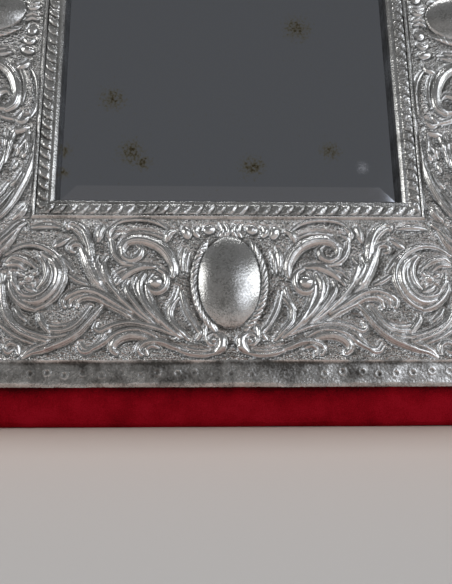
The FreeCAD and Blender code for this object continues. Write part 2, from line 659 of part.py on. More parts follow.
def hanging_ring():
    """The D-shaped wire ring, bent in straight runs and hanging plumb from the strap's loop."""
    half, corner = RING_RADIUS, RING_CORNER_RADIUS
    low = -corner - RING_LEG
    turns = [math.pi * i / RING_BOW_SIDES for i in range(RING_BOW_SIDES + 1)]
    route = [(half * math.cos(t), low - half * math.sin(t)) for t in turns]
    route += [(-half, -corner), (corner - half, 0), (half - corner, 0), (half, -corner)]
    count = len(route)
    rings = []
    for i, (x, z) in enumerate(route):
        runs = ((route[i - 1], (x, z)), ((x, z), route[(i + 1) % count]))
        inward = [FreeCAD.Vector(b[1] - a[1], 0, a[0] - b[0]).normalize() for a, b in runs]
        mitre = (inward[0] + inward[1]) / (1.0 + inward[0].dot(inward[1])) * RING_WIRE_RADIUS
        thick = Y_AXIS * RING_WIRE_RADIUS
        spots = [2.0 * math.pi * (k + 0.5) / RING_WIRE_SIDES for k in range(RING_WIRE_SIDES)]
        place = FreeCAD.Vector(x, 0, z)
        rings.append([place + mitre * math.cos(s) + thick * math.sin(s) for s in spots])
    faces = []
    for i in range(count):
        low_ring, high_ring = rings[i - 1], rings[i]
        for k in range(RING_WIRE_SIDES):
            faces.append(face_of([low_ring[k - 1], low_ring[k], high_ring[k], high_ring[k - 1]]))
    ring = Part.Solid(Part.Shell(faces))
    ring.rotate(ORIGIN, X_AXIS, LEAN)
    ring.translate(FreeCAD.Vector(0, STRAP_LOOP_DEPTH, STRAP_LOOP_HEIGHT))
    return ring


def leaned(point):
    """Where a bench point comes to once the frame leans back, from the lower front edge."""
    turn = math.radians(LEAN)
    y, z = point.y + VELVET_THICKNESS, point.z
    back = y * math.cos(turn) + z * math.sin(turn)
    up = z * math.cos(turn) - y * math.sin(turn)
    return FreeCAD.Vector(point.x, back, up)


def stand_depth():
    """From the lower front edge to the back of the strut's foot, along the table."""
    splay = math.radians(STRUT_OPENING - LEAN)
    pin = leaned(FreeCAD.Vector(0, STRUT_PIN_DEPTH, STRUT_PIN_HEIGHT))
    return pin.y + pin.z * math.tan(splay) + STRUT_THICKNESS / 2.0 / math.cos(splay)


def stand(shape):
    """Leans a finished piece back and sets the origin in the middle of the stand."""
    placed = shape.copy()
    placed.translate(FreeCAD.Vector(0, VELVET_THICKNESS, 0))
    placed.rotate(ORIGIN, X_AXIS, -LEAN)
    placed.translate(FreeCAD.Vector(0, -stand_depth() / 2.0, 0))
    return placed


def build():
    """Every piece by name, on the bench."""
    pieces = {}
    nails = sprigs()
    pins = {side: silver_pins(side) for side in SIDES}
    tacks = velvet_tacks()
    screws = bracket_screws() + strap_screws()
    driven = Part.makeCompound(nails + tacks + screws + sum(pins.values(), []))
    names = {"bottom": "bottom_rail", "top": "top_rail", "left": "left_stile", "right": "right_stile"}
    for side, name in names.items():
        pieces["core_" + name] = core_rail(side).cut(driven)
        pieces["velvet_" + side] = velvet_strip(side).cut(driven)
        pieces["embossed_panel_" + side] = embossed_panel(side).cut(Part.makeCompound(pins[side]))
        pieces["sight_moulding_" + side] = sight_moulding(side)
    pieces["corner_keys"] = Part.makeCompound(corner_keys())
    pieces["panel_pins"] = Part.makeCompound(sum(pins.values(), []))
    pieces["velvet_tacks"] = Part.makeCompound(tacks)
    pieces["mirror_plate"] = mirror_plate()
    pieces["backing_card"] = backing(GLASS_BACK, CARD_BACK)
    pieces["backboard"] = backing(CARD_BACK, BACKBOARD_BACK)
    pieces["backboard_sprigs"] = Part.makeCompound(nails)
    pieces["strut_bracket"] = strut_bracket()
    pieces["bracket_screws"] = Part.makeCompound(bracket_screws())
    pieces["strut_pin"] = strut_pin()
    pieces["easel_strut"] = easel_strut()
    pieces["hanging_strap"] = hanging_strap()
    pieces["strap_screws"] = Part.makeCompound(strap_screws())
    pieces["hanging_ring"] = hanging_ring()
    return pieces


def main():
    os.makedirs("parts", exist_ok=True)
    for name, shape in build().items():
        stand(shape).exportStep(os.path.join("parts", name + ".step"))
    back = FreeCAD.Vector(0, stand_depth() / 2.0, 0)
    for name, depth, height in (
        ("strut pin", STRUT_PIN_DEPTH, STRUT_PIN_HEIGHT),
        ("ring bar", STRAP_LOOP_DEPTH, STRAP_LOOP_HEIGHT),
        ("underside", CORE_DEPTH / 2.0, (CORE_DEPTH / 2.0 + VELVET_THICKNESS) * math.tan(math.radians(LEAN))),
    ):
        place = leaned(FreeCAD.Vector(0, depth, height)) - back
        print(name, [round(value, 3) for value in place])


main()
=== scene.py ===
"""Looks of a free-standing mirror: chased silver relief, velvet, old mirror glass, wood and brass.

Lengths are in millimetres on the bench, with the frame upright, and become metres in the part's frame.
Around the mirror, "along" runs along a side from its middle, "out" runs from the sight edge outwards
and "height" rises from the front face of the wooden core towards the viewer. A relief is a set of grids
over a side: along, out, height, tarnish, matting of the ground, and distance across the chased flutes.
"""

import math

import bpy
import numpy as np
from mathutils import Euler, Matrix, Vector


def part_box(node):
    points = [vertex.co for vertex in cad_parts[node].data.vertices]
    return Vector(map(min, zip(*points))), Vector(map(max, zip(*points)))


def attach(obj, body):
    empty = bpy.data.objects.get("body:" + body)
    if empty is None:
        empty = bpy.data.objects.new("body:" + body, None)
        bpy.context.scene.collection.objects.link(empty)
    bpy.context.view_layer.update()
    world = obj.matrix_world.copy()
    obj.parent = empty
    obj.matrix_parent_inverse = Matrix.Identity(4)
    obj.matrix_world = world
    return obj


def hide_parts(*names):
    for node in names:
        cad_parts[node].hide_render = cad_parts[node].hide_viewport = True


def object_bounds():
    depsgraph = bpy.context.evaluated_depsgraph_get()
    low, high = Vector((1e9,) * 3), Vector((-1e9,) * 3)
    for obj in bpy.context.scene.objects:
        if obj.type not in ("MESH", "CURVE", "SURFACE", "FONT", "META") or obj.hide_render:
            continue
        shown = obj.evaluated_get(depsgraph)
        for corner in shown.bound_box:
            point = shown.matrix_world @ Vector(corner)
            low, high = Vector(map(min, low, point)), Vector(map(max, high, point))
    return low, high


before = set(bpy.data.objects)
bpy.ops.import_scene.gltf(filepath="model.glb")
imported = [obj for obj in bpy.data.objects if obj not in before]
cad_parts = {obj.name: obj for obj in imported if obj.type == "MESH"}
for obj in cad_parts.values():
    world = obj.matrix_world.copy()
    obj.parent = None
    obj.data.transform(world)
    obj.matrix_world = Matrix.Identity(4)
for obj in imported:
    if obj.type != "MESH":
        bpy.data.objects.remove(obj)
cad_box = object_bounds()

# Units: a millimetre in metres, a metre in millimetres, and a share too small to matter
MILLIMETRE = 0.001
METRE = 1000.0
TINY = 1e-6

# Frame, as in the solids
SIGHT_WIDTH = 264.0
SIGHT_HEIGHT = 330.0
RAIL_WIDTH = 143.0
CORE_DEPTH = 20.0
VELVET_MARGIN = 28.0
VELVET_THICKNESS = 1.5
VELVET_TUCK = 14.0
VELVET_TURN = 25.0
LEAN = math.radians(12.0)
BOARD_OUT = RAIL_WIDTH + VELVET_MARGIN
CENTRE_HEIGHT = BOARD_OUT + SIGHT_HEIGHT / 2.0
FRONT_EDGE = METRE * cad_box[0].y

# Velvet: bend over the edges, slack between them, and painted shade on the face under the silver and along
# the outer edge
VELVET_BEND = 3.0
VELVET_STATION = 4.0
VELVET_FRONT_SAMPLES = 24
VELVET_BEND_SAMPLES = 7
VELVET_WAVE_DEPTH = 0.42
FRONT_SLACK = 0.4
FOOT_SLACK = 1.3
EDGE_SLACK = 0.5
VELVET_SHADE_REACH = 5.0
SHADE_UNDER_SILVER = 0.85
SHADE_AT_OUTER_EDGE = 0.2

# Sight moulding: lip, gadroons and bead
MOULDING_WIDTH = 17.2
LINING_DEPTH = 5.8
LIP_WIDTH = 4.6
LIP_HEIGHT = 4.5
CHAMFER_WIDTH = 2.4
CHAMFER_DROP = 2.8
CHAMFER_POWER = 1.2
GADROON_BAND = 8.4
GADROON_FLOOR = 4.3
GADROON_RISE = 2.4
GADROON_PITCH = 8.5
GADROON_SLANT = math.radians(58.0)
LOBE_BEND = 0.5
LOBE_SKEW = 1.5
LOBE_POWER = 2.4
LOBE_HEIGHT = 0.72
BEAD_OUT = (13.1, 13.9, 14.4, 16.5)
BEAD_SHARES = (0.0, 1.0, 0.97, 0.1)
BEAD_RISE = 1.9
BAND_POLISH = 0.7
MOULDING_MATTING = 0.22
MOULDING_TARNISH = 0.3
MOULDING_HOLLOW_TARNISH = 0.55

# Mirror glass: depth of its face, foxed spots and a pale bloom as (x, height, radius)
GLASS_FRONT = 4.6
FOXED_SPOTS = [
    (-76.0, 215.0, 17.0),
    (-67.0, 206.0, 11.0),
    (80.0, 217.5, 12.0),
    (18.0, 203.0, 15.0),
    (-92.0, 262.0, 16.0),
    (58.0, 330.0, 18.0),
    (-104.0, 405.0, 20.0),
    (-128.0, 197.0, 8.0),
    (-128.0, 216.0, 9.0),
]
BLOOM = (105.0, 203.0, 11.0)

# Embossed field: ground, boss with its patina, and rope
GROUND_HEIGHT = 5.0
FIELD_OUT = 124.0
GROUND_START = 0.6
GROUND_RAMP = 2.2
BOSS_HALF_WIDTH = 23.0
BOSS_HALF_LENGTH = 34.9
BOSS_RISE = 8.0
BOSS_RIM_ANGLE = math.radians(50.0)
BOSS_OUT = 66.0
BOSS_SHIFT = -1.2
BOSS_EDGE = 1.02
BOSS_HAMMERING = 0.1
BOSS_MATTING = 0.035
BOSS_TARNISH = 0.25
PATINA_TARNISH = 0.17
PATINA_HALF_WIDTH = 11.0
PATINA_HALF_LENGTH = 17.0
PATINA_DROP = 8.0
COLLAR_RISE = 1.6
ROPE_HALF_WIDTH = 2.8
ROPE_GAP = 0.6
ROPE_RISE = 2.8
ROPE_PITCH = 5.0
ROPE_LAY = 0.85
ROPE_CORE = 0.35
ROPE_SAMPLES = 721
ROPE_OPEN_ABOVE = 15.0
ROPE_OPEN_BELOW = 8.0
ROPE_FADE = 6.0
ROPE_SEEN = 0.2

# Ornament of the field: ridges, the broad swellings under them, and the groove and halo beside them
RIDGE_SPREAD = 1.3
RIDGE_STEP = 0.7
RIDGE_FOOT_POWER = 8
CREST_ROUND = 0.35
TAPER_SHARE = 0.4
SWELL_DEPTH = 1.3
SWELL_STEP = 2.0
SWELL_POWER = 1.5
PUNCHED_BEAD_POWER = 0.6
FLUTE_PITCH = 1.5
NO_FLUTE = 10.0
GROOVE_DEPTH = 0.15
GROOVE_PLACE = 0.5
GROOVE_SPREAD = 0.4
HALO_RISE = 0.55
HALO_REACH = 2.8
HALO_WINDOW = 3.0
FIELD_BLUR = 5
SUNK_LIMIT = 0.8
FIELD_TARNISH = 0.02
HOLLOW_TARNISH = 0.48
GROUND_TARNISH = 0.31

# Border: fold, rounded edge, punched rings, stains, and painted shade towards the middle of each side
FOLD_WIDTH = 2.4
FOLD_DROP = 0.8
FOLD_GROOVE = 1.4
BORDER_HEIGHT = 2.7
EDGE_ROUND = 3.0
EDGE_POWER = 1.2
EDGE_DROP = 0.95 * (BORDER_HEIGHT - VELVET_THICKNESS)
PUNCH_OUT = 133.0
PUNCH_PITCH = 13.0
PUNCH_END = 8.0
PUNCH_RADIUS = 2.3
PUNCH_RISE = 0.42
PUNCH_WALL = 0.7
PUNCH_STRAY = 0.8
PUNCH_SEED = 51
PIT_DEPTH = 0.6
PIT_RADIUS = 1.2
PUNCH_WEAR = 0.45
PUNCH_WEAR_LIMITS = (0.2, 0.8)
EDGE_BLUR = 3
STAIN_LEVEL = 0.5
MIDDLE_SHADE = 0.3
MIDDLE_SHADE_REACH = 60.0
BORDER_TARNISH = 0.2
STAIN_TARNISH = 0.55
BORDER_HOLLOW_TARNISH = 1.1
FOLD_TARNISH = 0.15
EDGE_POLISH = 0.7
BORDER_MATTING = 0.09

# Half of the drawn panel, from its middle to the sight's corner
HALF_LENGTH_DRAWN = SIGHT_WIDTH / 2.0

# Matting of the walls behind the face
WALL_MATTING = 2.0

# Layers of unevenness: depth, cell, share of "out" that counts, seed (a side adds its quarter turns)
FIELD_HAMMERING = [(0.25, 23.0, 1.0, 1), (0.12, 8.0, 1.0, 11)]
FIELD_DENTS = [(0.12, 3.1, 1.0, 41)]
BORDER_SWELLS = [(0.42, 13.0, 0.3, 51), (0.09, 4.0, 0.5, 61)]
BORDER_WEAR = [(0.8, 29.0, 1.0, 81)]
BORDER_STAINS = [(0.45, 15.0, 1.0, 91), (0.4, 5.0, 1.0, 101)]
LOBE_WEAR = [(0.28, 19.0, 1.0, 81)]
MOULDING_SWELLS = [(0.12, 9.0, 1.0, 91)]
MOULDING_DENTS = [(0.08, 2.4, 1.0, 101)]
MOULDING_STAINS = [(0.2, 12.0, 1.0, 111)]
VELVET_WAVES = [(0.3, 37.0, 1.0, 71), (0.12, 11.0, 1.0, 81)]

# Mesh fineness
FIELD_COLUMNS = 860
FIELD_ROWS = 200
BORDER_ROWS = 34
BORDER_COLUMNS = 860
MOULDING_ROWS = 52
MOULDING_STEP = 0.5
SHARP_ANGLE = math.radians(70.0)

# Places of the faces on the texture maps, as shares of the map
RELIEF_MAP_TOP = 0.92
RELIEF_CAP_MAP = 0.94
RELIEF_CAP_SHARE = 0.06
VELVET_MAP_TOP = 0.88
SEAM_MAP = (0.9, 0.93)
VELVET_CAP_STARTS = (0, 0.5)
VELVET_CAP_WIDTH = 0.4
VELVET_CAP_MAP = 0.96
VELVET_CAP_HEIGHT = 0.03

# Hanging ring
RING_WIRE = 1.8
RING_CORNER = 5.0
RING_SIDES = 12
RING_CORNER_SAMPLES = 9
RING_BOW_SAMPLES = 41

# Tones of the materials: position on the ramp and colour
SILVER_TONES = [
    (0.0, (0.90, 0.905, 0.905)),
    (0.3, (0.70, 0.705, 0.70)),
    (0.6, (0.39, 0.39, 0.382)),
    (1.0, (0.11, 0.107, 0.101)),
]
VELVET_TONES = [
    (0.25, (0.05, 0.0005, 0.0017)),
    (0.6, (0.21, 0.0015, 0.007)),
    (0.9, (0.35, 0.0034, 0.0115)),
    (1.0, (0.42, 0.0065, 0.019)),
]
GLASS_TONES = [
    (0.6, (0.44, 0.465, 0.515)),
    (0.72, (0.42, 0.41, 0.36)),
    (0.8, (0.25, 0.21, 0.12)),
    (0.9, (0.07, 0.055, 0.03)),
]
CARD_TONES = [(0.3, (0.22, 0.17, 0.12)), (0.7, (0.32, 0.26, 0.19))]
SHEEN_TONE = (0.8, 0.02, 0.05, 1.0)

# Table top: tones from the front to the mirror's foot, the warm one a painted red bounce from the velvet,
# and where they start and end, in metres
FLOOR_TONES = [(0.0, (0.50, 0.495, 0.49)), (1.0, (0.525, 0.425, 0.38))]
FLOOR_FORWARD = (-0.60, -0.18)
FLOOR_HALF = 6.0

# Room: colours by height of the direction, from level to straight up
ROOM_TONES = [
    (0.0, (0.22, 0.212, 0.205)),
    (0.42, (0.195, 0.188, 0.183)),
    (0.6, (0.154, 0.153, 0.152)),
    (1.0, (0.154, 0.153, 0.152)),
]

# Lamps, in metres and watts: place, size, power, colour; all are aimed at one point
LAMP_AIM = (0.0, -0.05, 0.15)
LAMPS = {
    "right_softbox": ((1.34, -0.44, 0.64), (1.1, 0.66), 4.5, (0.95, 0.975, 1.0)),
    "right_front_panel": ((0.95, -1.33, 0.61), (0.94, 0.87), 3.6, (0.90, 0.93, 1.0)),
    "left_softbox": ((-1.40, -0.26, 0.64), (0.95, 0.66), 6.0, (1.0, 0.99, 0.97)),
    "top_softbox": ((0.0, 0.40, 1.9), (1.6, 0.45), 25.0, (1.0, 1.0, 1.0)),
}

# Camera, from the lower front edge of the velvet
CAMERA_PLACE = (-27.3, -560.9, 37.3)
CAMERA_RISE = math.radians(5.79)
CAMERA_HEADING = math.radians(2.33)
CAMERA_ROLL = math.radians(-0.13)
CAMERA_LENS = 49.3
CAMERA_CLIP = 0.01

# Each side: half the sight edge along it, half the sight across it, and its quarter turns from the bottom
SIDES = {
    "bottom": (SIGHT_WIDTH / 2.0, SIGHT_HEIGHT / 2.0, 0),
    "right": (SIGHT_HEIGHT / 2.0, SIGHT_WIDTH / 2.0, 1),
    "top": (SIGHT_WIDTH / 2.0, SIGHT_HEIGHT / 2.0, 2),
    "left": (SIGHT_HEIGHT / 2.0, SIGHT_WIDTH / 2.0, 3),
}

# Broad swellings under the ornament of the half panel: half width, rise, points (along, out)
SWELLINGS = [
    (9.0, 1.5, [(40, 105), (55, 94), (70, 82), (84, 70), (94, 57)]),
    (6.0, 1.3, [(75, 90), (90, 81), (104, 76), (115, 79)]),
    (4.5, 1.2, [(95, 66), (102, 50), (107, 34), (115, 24)]),
    (5.5, 1.0, [(48, 107), (64, 103), (79, 105), (87, 112)]),
    (9.0, 1.4, [(128, 52), (126, 66), (134, 78), (147, 79), (157, 69)]),
    (9.0, 1.2, [(138, 46), (150, 45), (158, 54), (152, 64), (142, 62)]),
    (5.0, 1.1, [(131, 109), (149, 103), (161, 89), (164, 70)]),
    (4.0, 1.0, [(95, 88), (110, 104), (130, 115)]),
    (4.0, 1.2, [(0, 115.5), (4, 116)]),
    (7.0, 1.0, [(12, 111), (16, 112)]),
    (6.0, 1.0, [(47, 30), (58, 25), (70, 23), (82, 25)]),
    (9.0, 1.8, [(156, 25), (172, 43), (192, 64), (212, 85), (234, 106)]),
    (8.0, 1.2, [(176, 60), (182, 78), (190, 96), (205, 108)]),
]

# Chased ridges of the half panel: half width, rise, (start, end) width shares, points (along, out)
EVEN = (0.4, 0.4)
RIDGES = {
    "shell": [
        (1.4, 1.9, EVEN, [(3.6, 21), (2.0, 26), (4.2, 31)]),
        (1.2, 1.6, EVEN, [(7.2, 21), (5.6, 26), (7.8, 30.5)]),
        (2.6, 1.5, (0.8, 0.8), [(14.5, 24.2), (17, 25.4)]),
        (2.4, 2.2, (0.6, 0.6), [(33.4, 24.3), (31.8, 30.5)]),
        (1.6, 1.6, (0.5, 0.6), [(24.4, 23), (26.2, 26.6), (24.2, 30)]),
    ],
    "crescent": [
        (1.0, 1.2, EVEN, [(46, 25), (52, 20.6), (60, 18), (70, 17.2), (80, 18.3), (87, 22)]),
        (1.0, 0.9, EVEN, [(50, 31.3), (58, 28.6), (67, 27.6), (76, 28.8)]),
        (1.7, 1.9, (0.5, 0.5), [(41.5, 26.3), (44.8, 27.6), (46.6, 31), (47.6, 34)]),
        (1.6, 1.8, (0.4, 0.5), [(86, 22.8), (90, 27.3), (89, 32)]),
        (2.0, 2.3, (0.5, 0.4), [(94.5, 22.8), (96.6, 28.8), (97.8, 34)]),
        (1.3, 1.4, (0.4, 0.5), [(82.5, 28.7), (86, 30.6), (88.6, 33.6)]),
    ],
    "shell_scroll": [
        (3.3, 3.0, (0.25, 0.7), [(42.5, 62), (42, 55), (44.5, 47.5), (49, 41), (55, 36.5), (62.5, 33.7),
            (70, 33), (76.5, 35), (80, 40)]),
        (1.8, 2.2, (0.9, 0.3), [(80, 40), (78.8, 46.3), (73.5, 49.2), (67.7, 46.5), (66, 41.2),
            (69, 37.8)]),
        (0.8, 0.9, (0.5, 0.5), [(39.8, 60), (40, 52), (42.5, 44.4), (46.5, 38.6)]),
        (1.4, 1.7, (0.6, 0.3), [(88, 33.5), (86.6, 41), (83.5, 47.2), (78.5, 50.8), (72, 51.6)]),
        (1.0, 1.1, EVEN, [(53, 54.6), (61, 52.6), (71, 53), (81, 52)]),
    ],
    "ball_volute": [
        (1.8, 2.3, EVEN, [(57.5, 60.4), (60.8, 66.5), (58.8, 72), (54, 73.8), (49, 71.3), (47.2, 65.5),
            (48.5, 59.5), (53, 56.4)]),
        (4.0, 3.6, (1, 1), [(54.6, 66.4), (55, 66.6)]),
        (1.9, 2.3, (0.9, 0.4), [(61.3, 69.5), (60, 76.5), (55.5, 86.5), (48, 98), (37, 107.5)]),
    ],
    "rope_leaf": [
        (1.2, 1.5, (0.6, 0.4), [(22.5, 104.5), (28, 96.5), (32.5, 88), (35, 80), (36.5, 73)]),
        (1.5, 1.8, (0.4, 0.5), [(38.3, 78), (42.5, 84), (44.4, 90), (42.5, 96.5), (37, 103), (31, 109)]),
        (1.0, 1.3, (0.5, 0.5), [(24.6, 99.6), (22.3, 104.4), (24.6, 109)]),
        (1.0, 1.2, EVEN, [(39, 70), (41, 78), (46.5, 87)]),
        (1.7, 1.7, (0.3, 0.3), [(34.7, 40.5), (36, 49), (35.6, 57)]),
        (1.1, 1.2, (0.3, 0.3), [(31, 43.5), (32.2, 50.5), (32.8, 58.5)]),
    ],
    "leaf": [
        (2.5, 2.7, (0.5, 0.3), [(63.3, 60.3), (66, 66), (66.2, 72.5), (63.5, 80), (58, 89), (50, 98)]),
        (1.2, 1.8, (0.4, 0.3), [(69.2, 62.5), (70.5, 68.5), (68.2, 76), (62, 85.3), (52, 97.4)]),
        (1.8, 2.3, (0.4, 0.3), [(75, 65.6), (75.9, 71), (72.5, 78.5), (65.3, 88), (54.5, 99)]),
        (2.0, 2.0, (0.5, 0.4), [(56.5, 54.5), (64, 54.3), (72, 57.2), (79, 62.5), (83, 68)]),
        (1.0, 1.2, EVEN, [(75, 55.5), (82, 58.5), (85.8, 63)]),
        (1.6, 2.3, (0.4, 0.3), [(97, 51), (93.5, 59), (88.5, 68), (81.5, 77), (71.5, 87), (61, 95.3),
            (51, 101.5)]),
        (1.1, 1.6, EVEN, [(99, 69.3), (89.5, 75), (80.5, 81), (71, 88.6), (62, 96)]),
        (1.2, 1.6, EVEN, [(97, 80), (88, 84.4), (79, 88.9), (70, 94.2), (60, 99.4)]),
        (1.5, 2.1, EVEN, [(90.5, 46.7), (93, 52), (92, 58.7), (88.7, 65), (84.7, 71.3)]),
        (1.5, 2.0, EVEN, [(98, 46), (98.7, 52), (96.3, 59.5), (91.3, 67)]),
    ],
    "curled_leaf": [
        (2.0, 2.5, (0.4, 0.5), [(71, 90), (81, 84), (91, 77.3), (98, 73.7), (105.5, 72.4), (112.5, 74),
            (118.5, 77.3), (121, 81), (119.6, 85)]),
        (1.3, 1.7, (0.4, 0.5), [(89, 83), (98, 78.9), (105, 78.4), (109.8, 80.9), (110.8, 85)]),
        (1.1, 1.6, (0.4, 0.5), [(103, 75.7), (111, 77.3), (115.6, 80.6), (116, 84.6)]),
    ],
    "tall_plume": [
        (1.9, 2.2, (0.5, 0.4), [(118.8, 20), (114, 21.2), (109, 25.3), (105.8, 31), (103.5, 38),
            (102, 46), (100.5, 54)]),
        (1.2, 1.6, (0.5, 0.4), [(119.5, 22.5), (112.5, 27.4), (108.4, 32.6), (105.4, 40), (103.4, 49)]),
        (1.3, 1.7, (0.6, 0.6), [(117.5, 19.8), (120.3, 21.4), (120, 24.6)]),
        (1.5, 1.2, (0.3, 0.3), [(126, 23.4), (132, 22.6), (139, 22.6), (147, 23.6)]),
    ],
    "hooked_plume": [
        (1.4, 2.1, (0.7, 0.4), [(108.5, 41), (110.3, 38), (114, 36.9), (117.3, 38.7), (117.4, 41.8),
            (114.6, 43)]),
        (3.0, 2.8, (0.5, 0.3), [(109, 40.5), (106.5, 46.7), (103.7, 54), (100.3, 61), (95.5, 68.6),
            (88, 75.6)]),
        (1.6, 1.5, (0.3, 0.3), [(120, 33), (124, 35.3), (129, 39)]),
    ],
    "low_scrolls": [
        (1.5, 1.9, (0.4, 0.5), [(54, 107.6), (60, 104), (68, 101.8), (76.5, 102.5), (84.5, 106),
            (91.5, 111.8), (98.5, 115.8), (104, 116), (107, 112)]),
        (2.5, 2.4, (0.4, 0.5), [(57, 109.3), (64.5, 106.8), (72.5, 106.2), (79.3, 108.3), (83.4, 112),
            (84.6, 116), (82, 119)]),
        (1.7, 2.1, (0.3, 0.5), [(31, 117.7), (41, 114.8), (49, 111.5), (57, 110.6), (63, 112.4),
            (66, 116.2), (64, 120)]),
        (1.1, 1.5, (0.4, 0.5), [(52, 115.2), (57, 113.8), (60.8, 116.4), (60, 120)]),
        (1.4, 1.9, (0.3, 0.6), [(41, 106), (50, 102.4), (60, 99), (71, 96.9), (80, 97.6), (88, 100.4),
            (93.8, 103), (97, 101), (96, 97)]),
        (1.2, 1.6, (0.4, 0.6), [(86, 100.5), (91, 107), (96, 112.7), (101, 118), (106, 118),
            (108.4, 114.6)]),
        (1.3, 1.5, EVEN, [(86.5, 103.5), (91, 105.5), (92.4, 109.4)]),
    ],
    "base_volute": [
        (2.5, 3.0, (0.6, 0.4), [(10.4, 105.9), (7.4, 108.3), (6.6, 111.6), (7.8, 115.2), (11.4, 118.8)]),
        (0.9, 1.5, (0.7, 0.4), [(10, 106), (13.6, 105.2), (17, 107.2), (17.2, 110.6), (14.8, 113.2),
            (11.8, 112.8)]),
        (1.4, 2.0, (1, 1), [(12.5, 109.6), (12.8, 109.9)]),
        (1.2, 1.7, (0.6, 0.3), [(12, 119.2), (20, 120.5), (30, 119.6), (40, 116.4)]),
        (0.8, 1.3, (0.4, 0.3), [(15.5, 116.6), (25, 117.4), (37, 114)]),
        (1.0, 1.3, (0.4, 0.5), [(18, 98.5), (19.4, 104), (19, 110)]),
    ],
    "pointed_stem": [
        (1.9, 2.4, (0.5, 0.25), [(93, 84.5), (98.3, 91), (103.5, 98), (109, 104.3), (116, 109.5),
            (124.5, 113.5), (133.5, 117), (141, 119), (147, 122.6)]),
        (1.3, 1.6, (0.4, 0.3), [(131.5, 112), (138, 114.4), (143.4, 117.6), (147.4, 122)]),
        (1.5, 2.0, (0.5, 0.5), [(101.5, 85), (106, 92), (111.5, 98), (118, 101.7), (125.5, 102.7),
            (131, 101.5)]),
        (0.9, 1.2, EVEN, [(110, 94.4), (117, 98.4), (125, 99.2), (131, 97.8)]),
        (1.7, 2.1, (0.4, 0.5), [(136.5, 90.8), (135.5, 95.5), (132, 100.5), (129.6, 104)]),
    ],
    "ring_stem": [
        (1.9, 2.3, EVEN, [(131, 110.6), (141, 108), (151, 103.3), (158.5, 95.6), (163, 85), (164.8, 73),
            (164, 61)]),
        (1.3, 1.7, EVEN, [(116, 105), (126, 107.2), (136, 105.8), (146, 102.2), (154, 96.6), (159.4, 88)]),
        (1.2, 1.5, EVEN, [(140, 112), (149, 108.8), (157, 104), (164.5, 98)]),
        (1.3, 1.7, EVEN, [(150, 119.6), (151.3, 113.6), (156.4, 111.6), (160, 115), (157.6, 118.6),
            (154.6, 116.6)]),
        (1.2, 1.5, EVEN, [(154.5, 86.5), (151.5, 91.5), (146.5, 95.5)]),
    ],
    "corner_volute": [
        (1.6, 2.1, (0.4, 0.6), [(164, 45), (155, 39.2), (145, 37.6), (136, 40), (128, 45.5),
            (122.5, 53.5), (120.8, 62), (122.5, 70), (127, 78), (133.5, 84), (140.5, 87)]),
        (1.8, 2.1, (0.7, 0.4), [(140.5, 87), (147.5, 84.8), (154, 79.8), (158.7, 72.8), (160, 65)]),
        (2.4, 2.5, EVEN, [(137, 45.3), (129.8, 50.6), (125.7, 58), (126, 67), (130, 74.6), (136.5, 80.2),
            (143.5, 81.8), (150.5, 79.4)]),
        (1.1, 1.6, EVEN, [(133, 50.5), (129.8, 58), (131, 67), (136, 74), (143, 77.2), (150, 76),
            (155.6, 71.4)]),
        (1.6, 2.3, (0.4, 0.3), [(139, 46.6), (134.9, 53), (133.8, 60), (135.8, 66.3), (140, 71)]),
        (1.5, 1.9, EVEN, [(141, 56), (147, 51.2), (153.5, 48.4), (159, 47.6), (163, 50.6)]),
        (1.2, 1.6, EVEN, [(149, 57), (154.5, 53.3), (163, 53.4)]),
        (1.5, 1.8, EVEN, [(140.5, 73.3), (145.5, 71.8), (149.5, 69)]),
        (1.6, 2.0, EVEN, [(158, 60), (157, 66.5), (153, 72.4)]),
        (2.2, 2.6, (1, 1), [(146, 63.4), (146.3, 63.6)]),
        (1.3, 1.8, (0.6, 0.5), [(142.5, 66.5), (143, 70)]),
        (1.3, 1.8, (0.6, 0.5), [(149.5, 66.4), (152.5, 68)]),
        (1.3, 1.8, (0.6, 0.5), [(150, 61.4), (153.4, 60)]),
        (1.3, 1.8, (0.6, 0.5), [(142.6, 60.8), (140, 58.6)]),
        (1.2, 1.6, EVEN, [(130, 41.5), (121.5, 50), (115.5, 58)]),
        (1.2, 1.6, EVEN, [(105, 68), (112, 65), (118.4, 60.5)]),
    ],
    "corner_leaf": [
        (2.3, 2.8, (0.4, 0.3), [(152, 20.6), (170, 38.6), (190, 58.6), (210, 78.6), (233, 101.6),
            (250, 118.6)]),
        (1.7, 2.2, EVEN, [(156, 26), (162, 36), (170, 45.5), (176.5, 55), (178, 63)]),
        (1.7, 2.2, EVEN, [(171, 42), (176.5, 53), (179.5, 65), (178, 76), (172, 84)]),
        (1.2, 1.6, EVEN, [(176, 48), (182.5, 60), (186, 72), (185, 82)]),
        (1.7, 2.2, EVEN, [(185, 57), (190, 69), (192, 81), (188.5, 93), (181, 100)]),
        (1.2, 1.6, EVEN, [(191, 63), (197, 75), (199.5, 86), (198, 96)]),
        (1.7, 2.2, EVEN, [(200, 72), (205.5, 84), (207.5, 95), (204, 106), (196, 112)]),
        (1.7, 2.1, EVEN, [(214, 86), (220, 97), (222.5, 107), (219.5, 115)]),
        (1.4, 1.8, EVEN, [(228, 99), (234, 107), (237, 116)]),
        (1.6, 2.0, EVEN, [(166, 118), (174, 111), (184, 110), (191, 115), (189, 120), (184, 118)]),
        (1.3, 1.7, EVEN, [(191, 119.5), (202, 120), (214, 120.4)]),
    ],
}

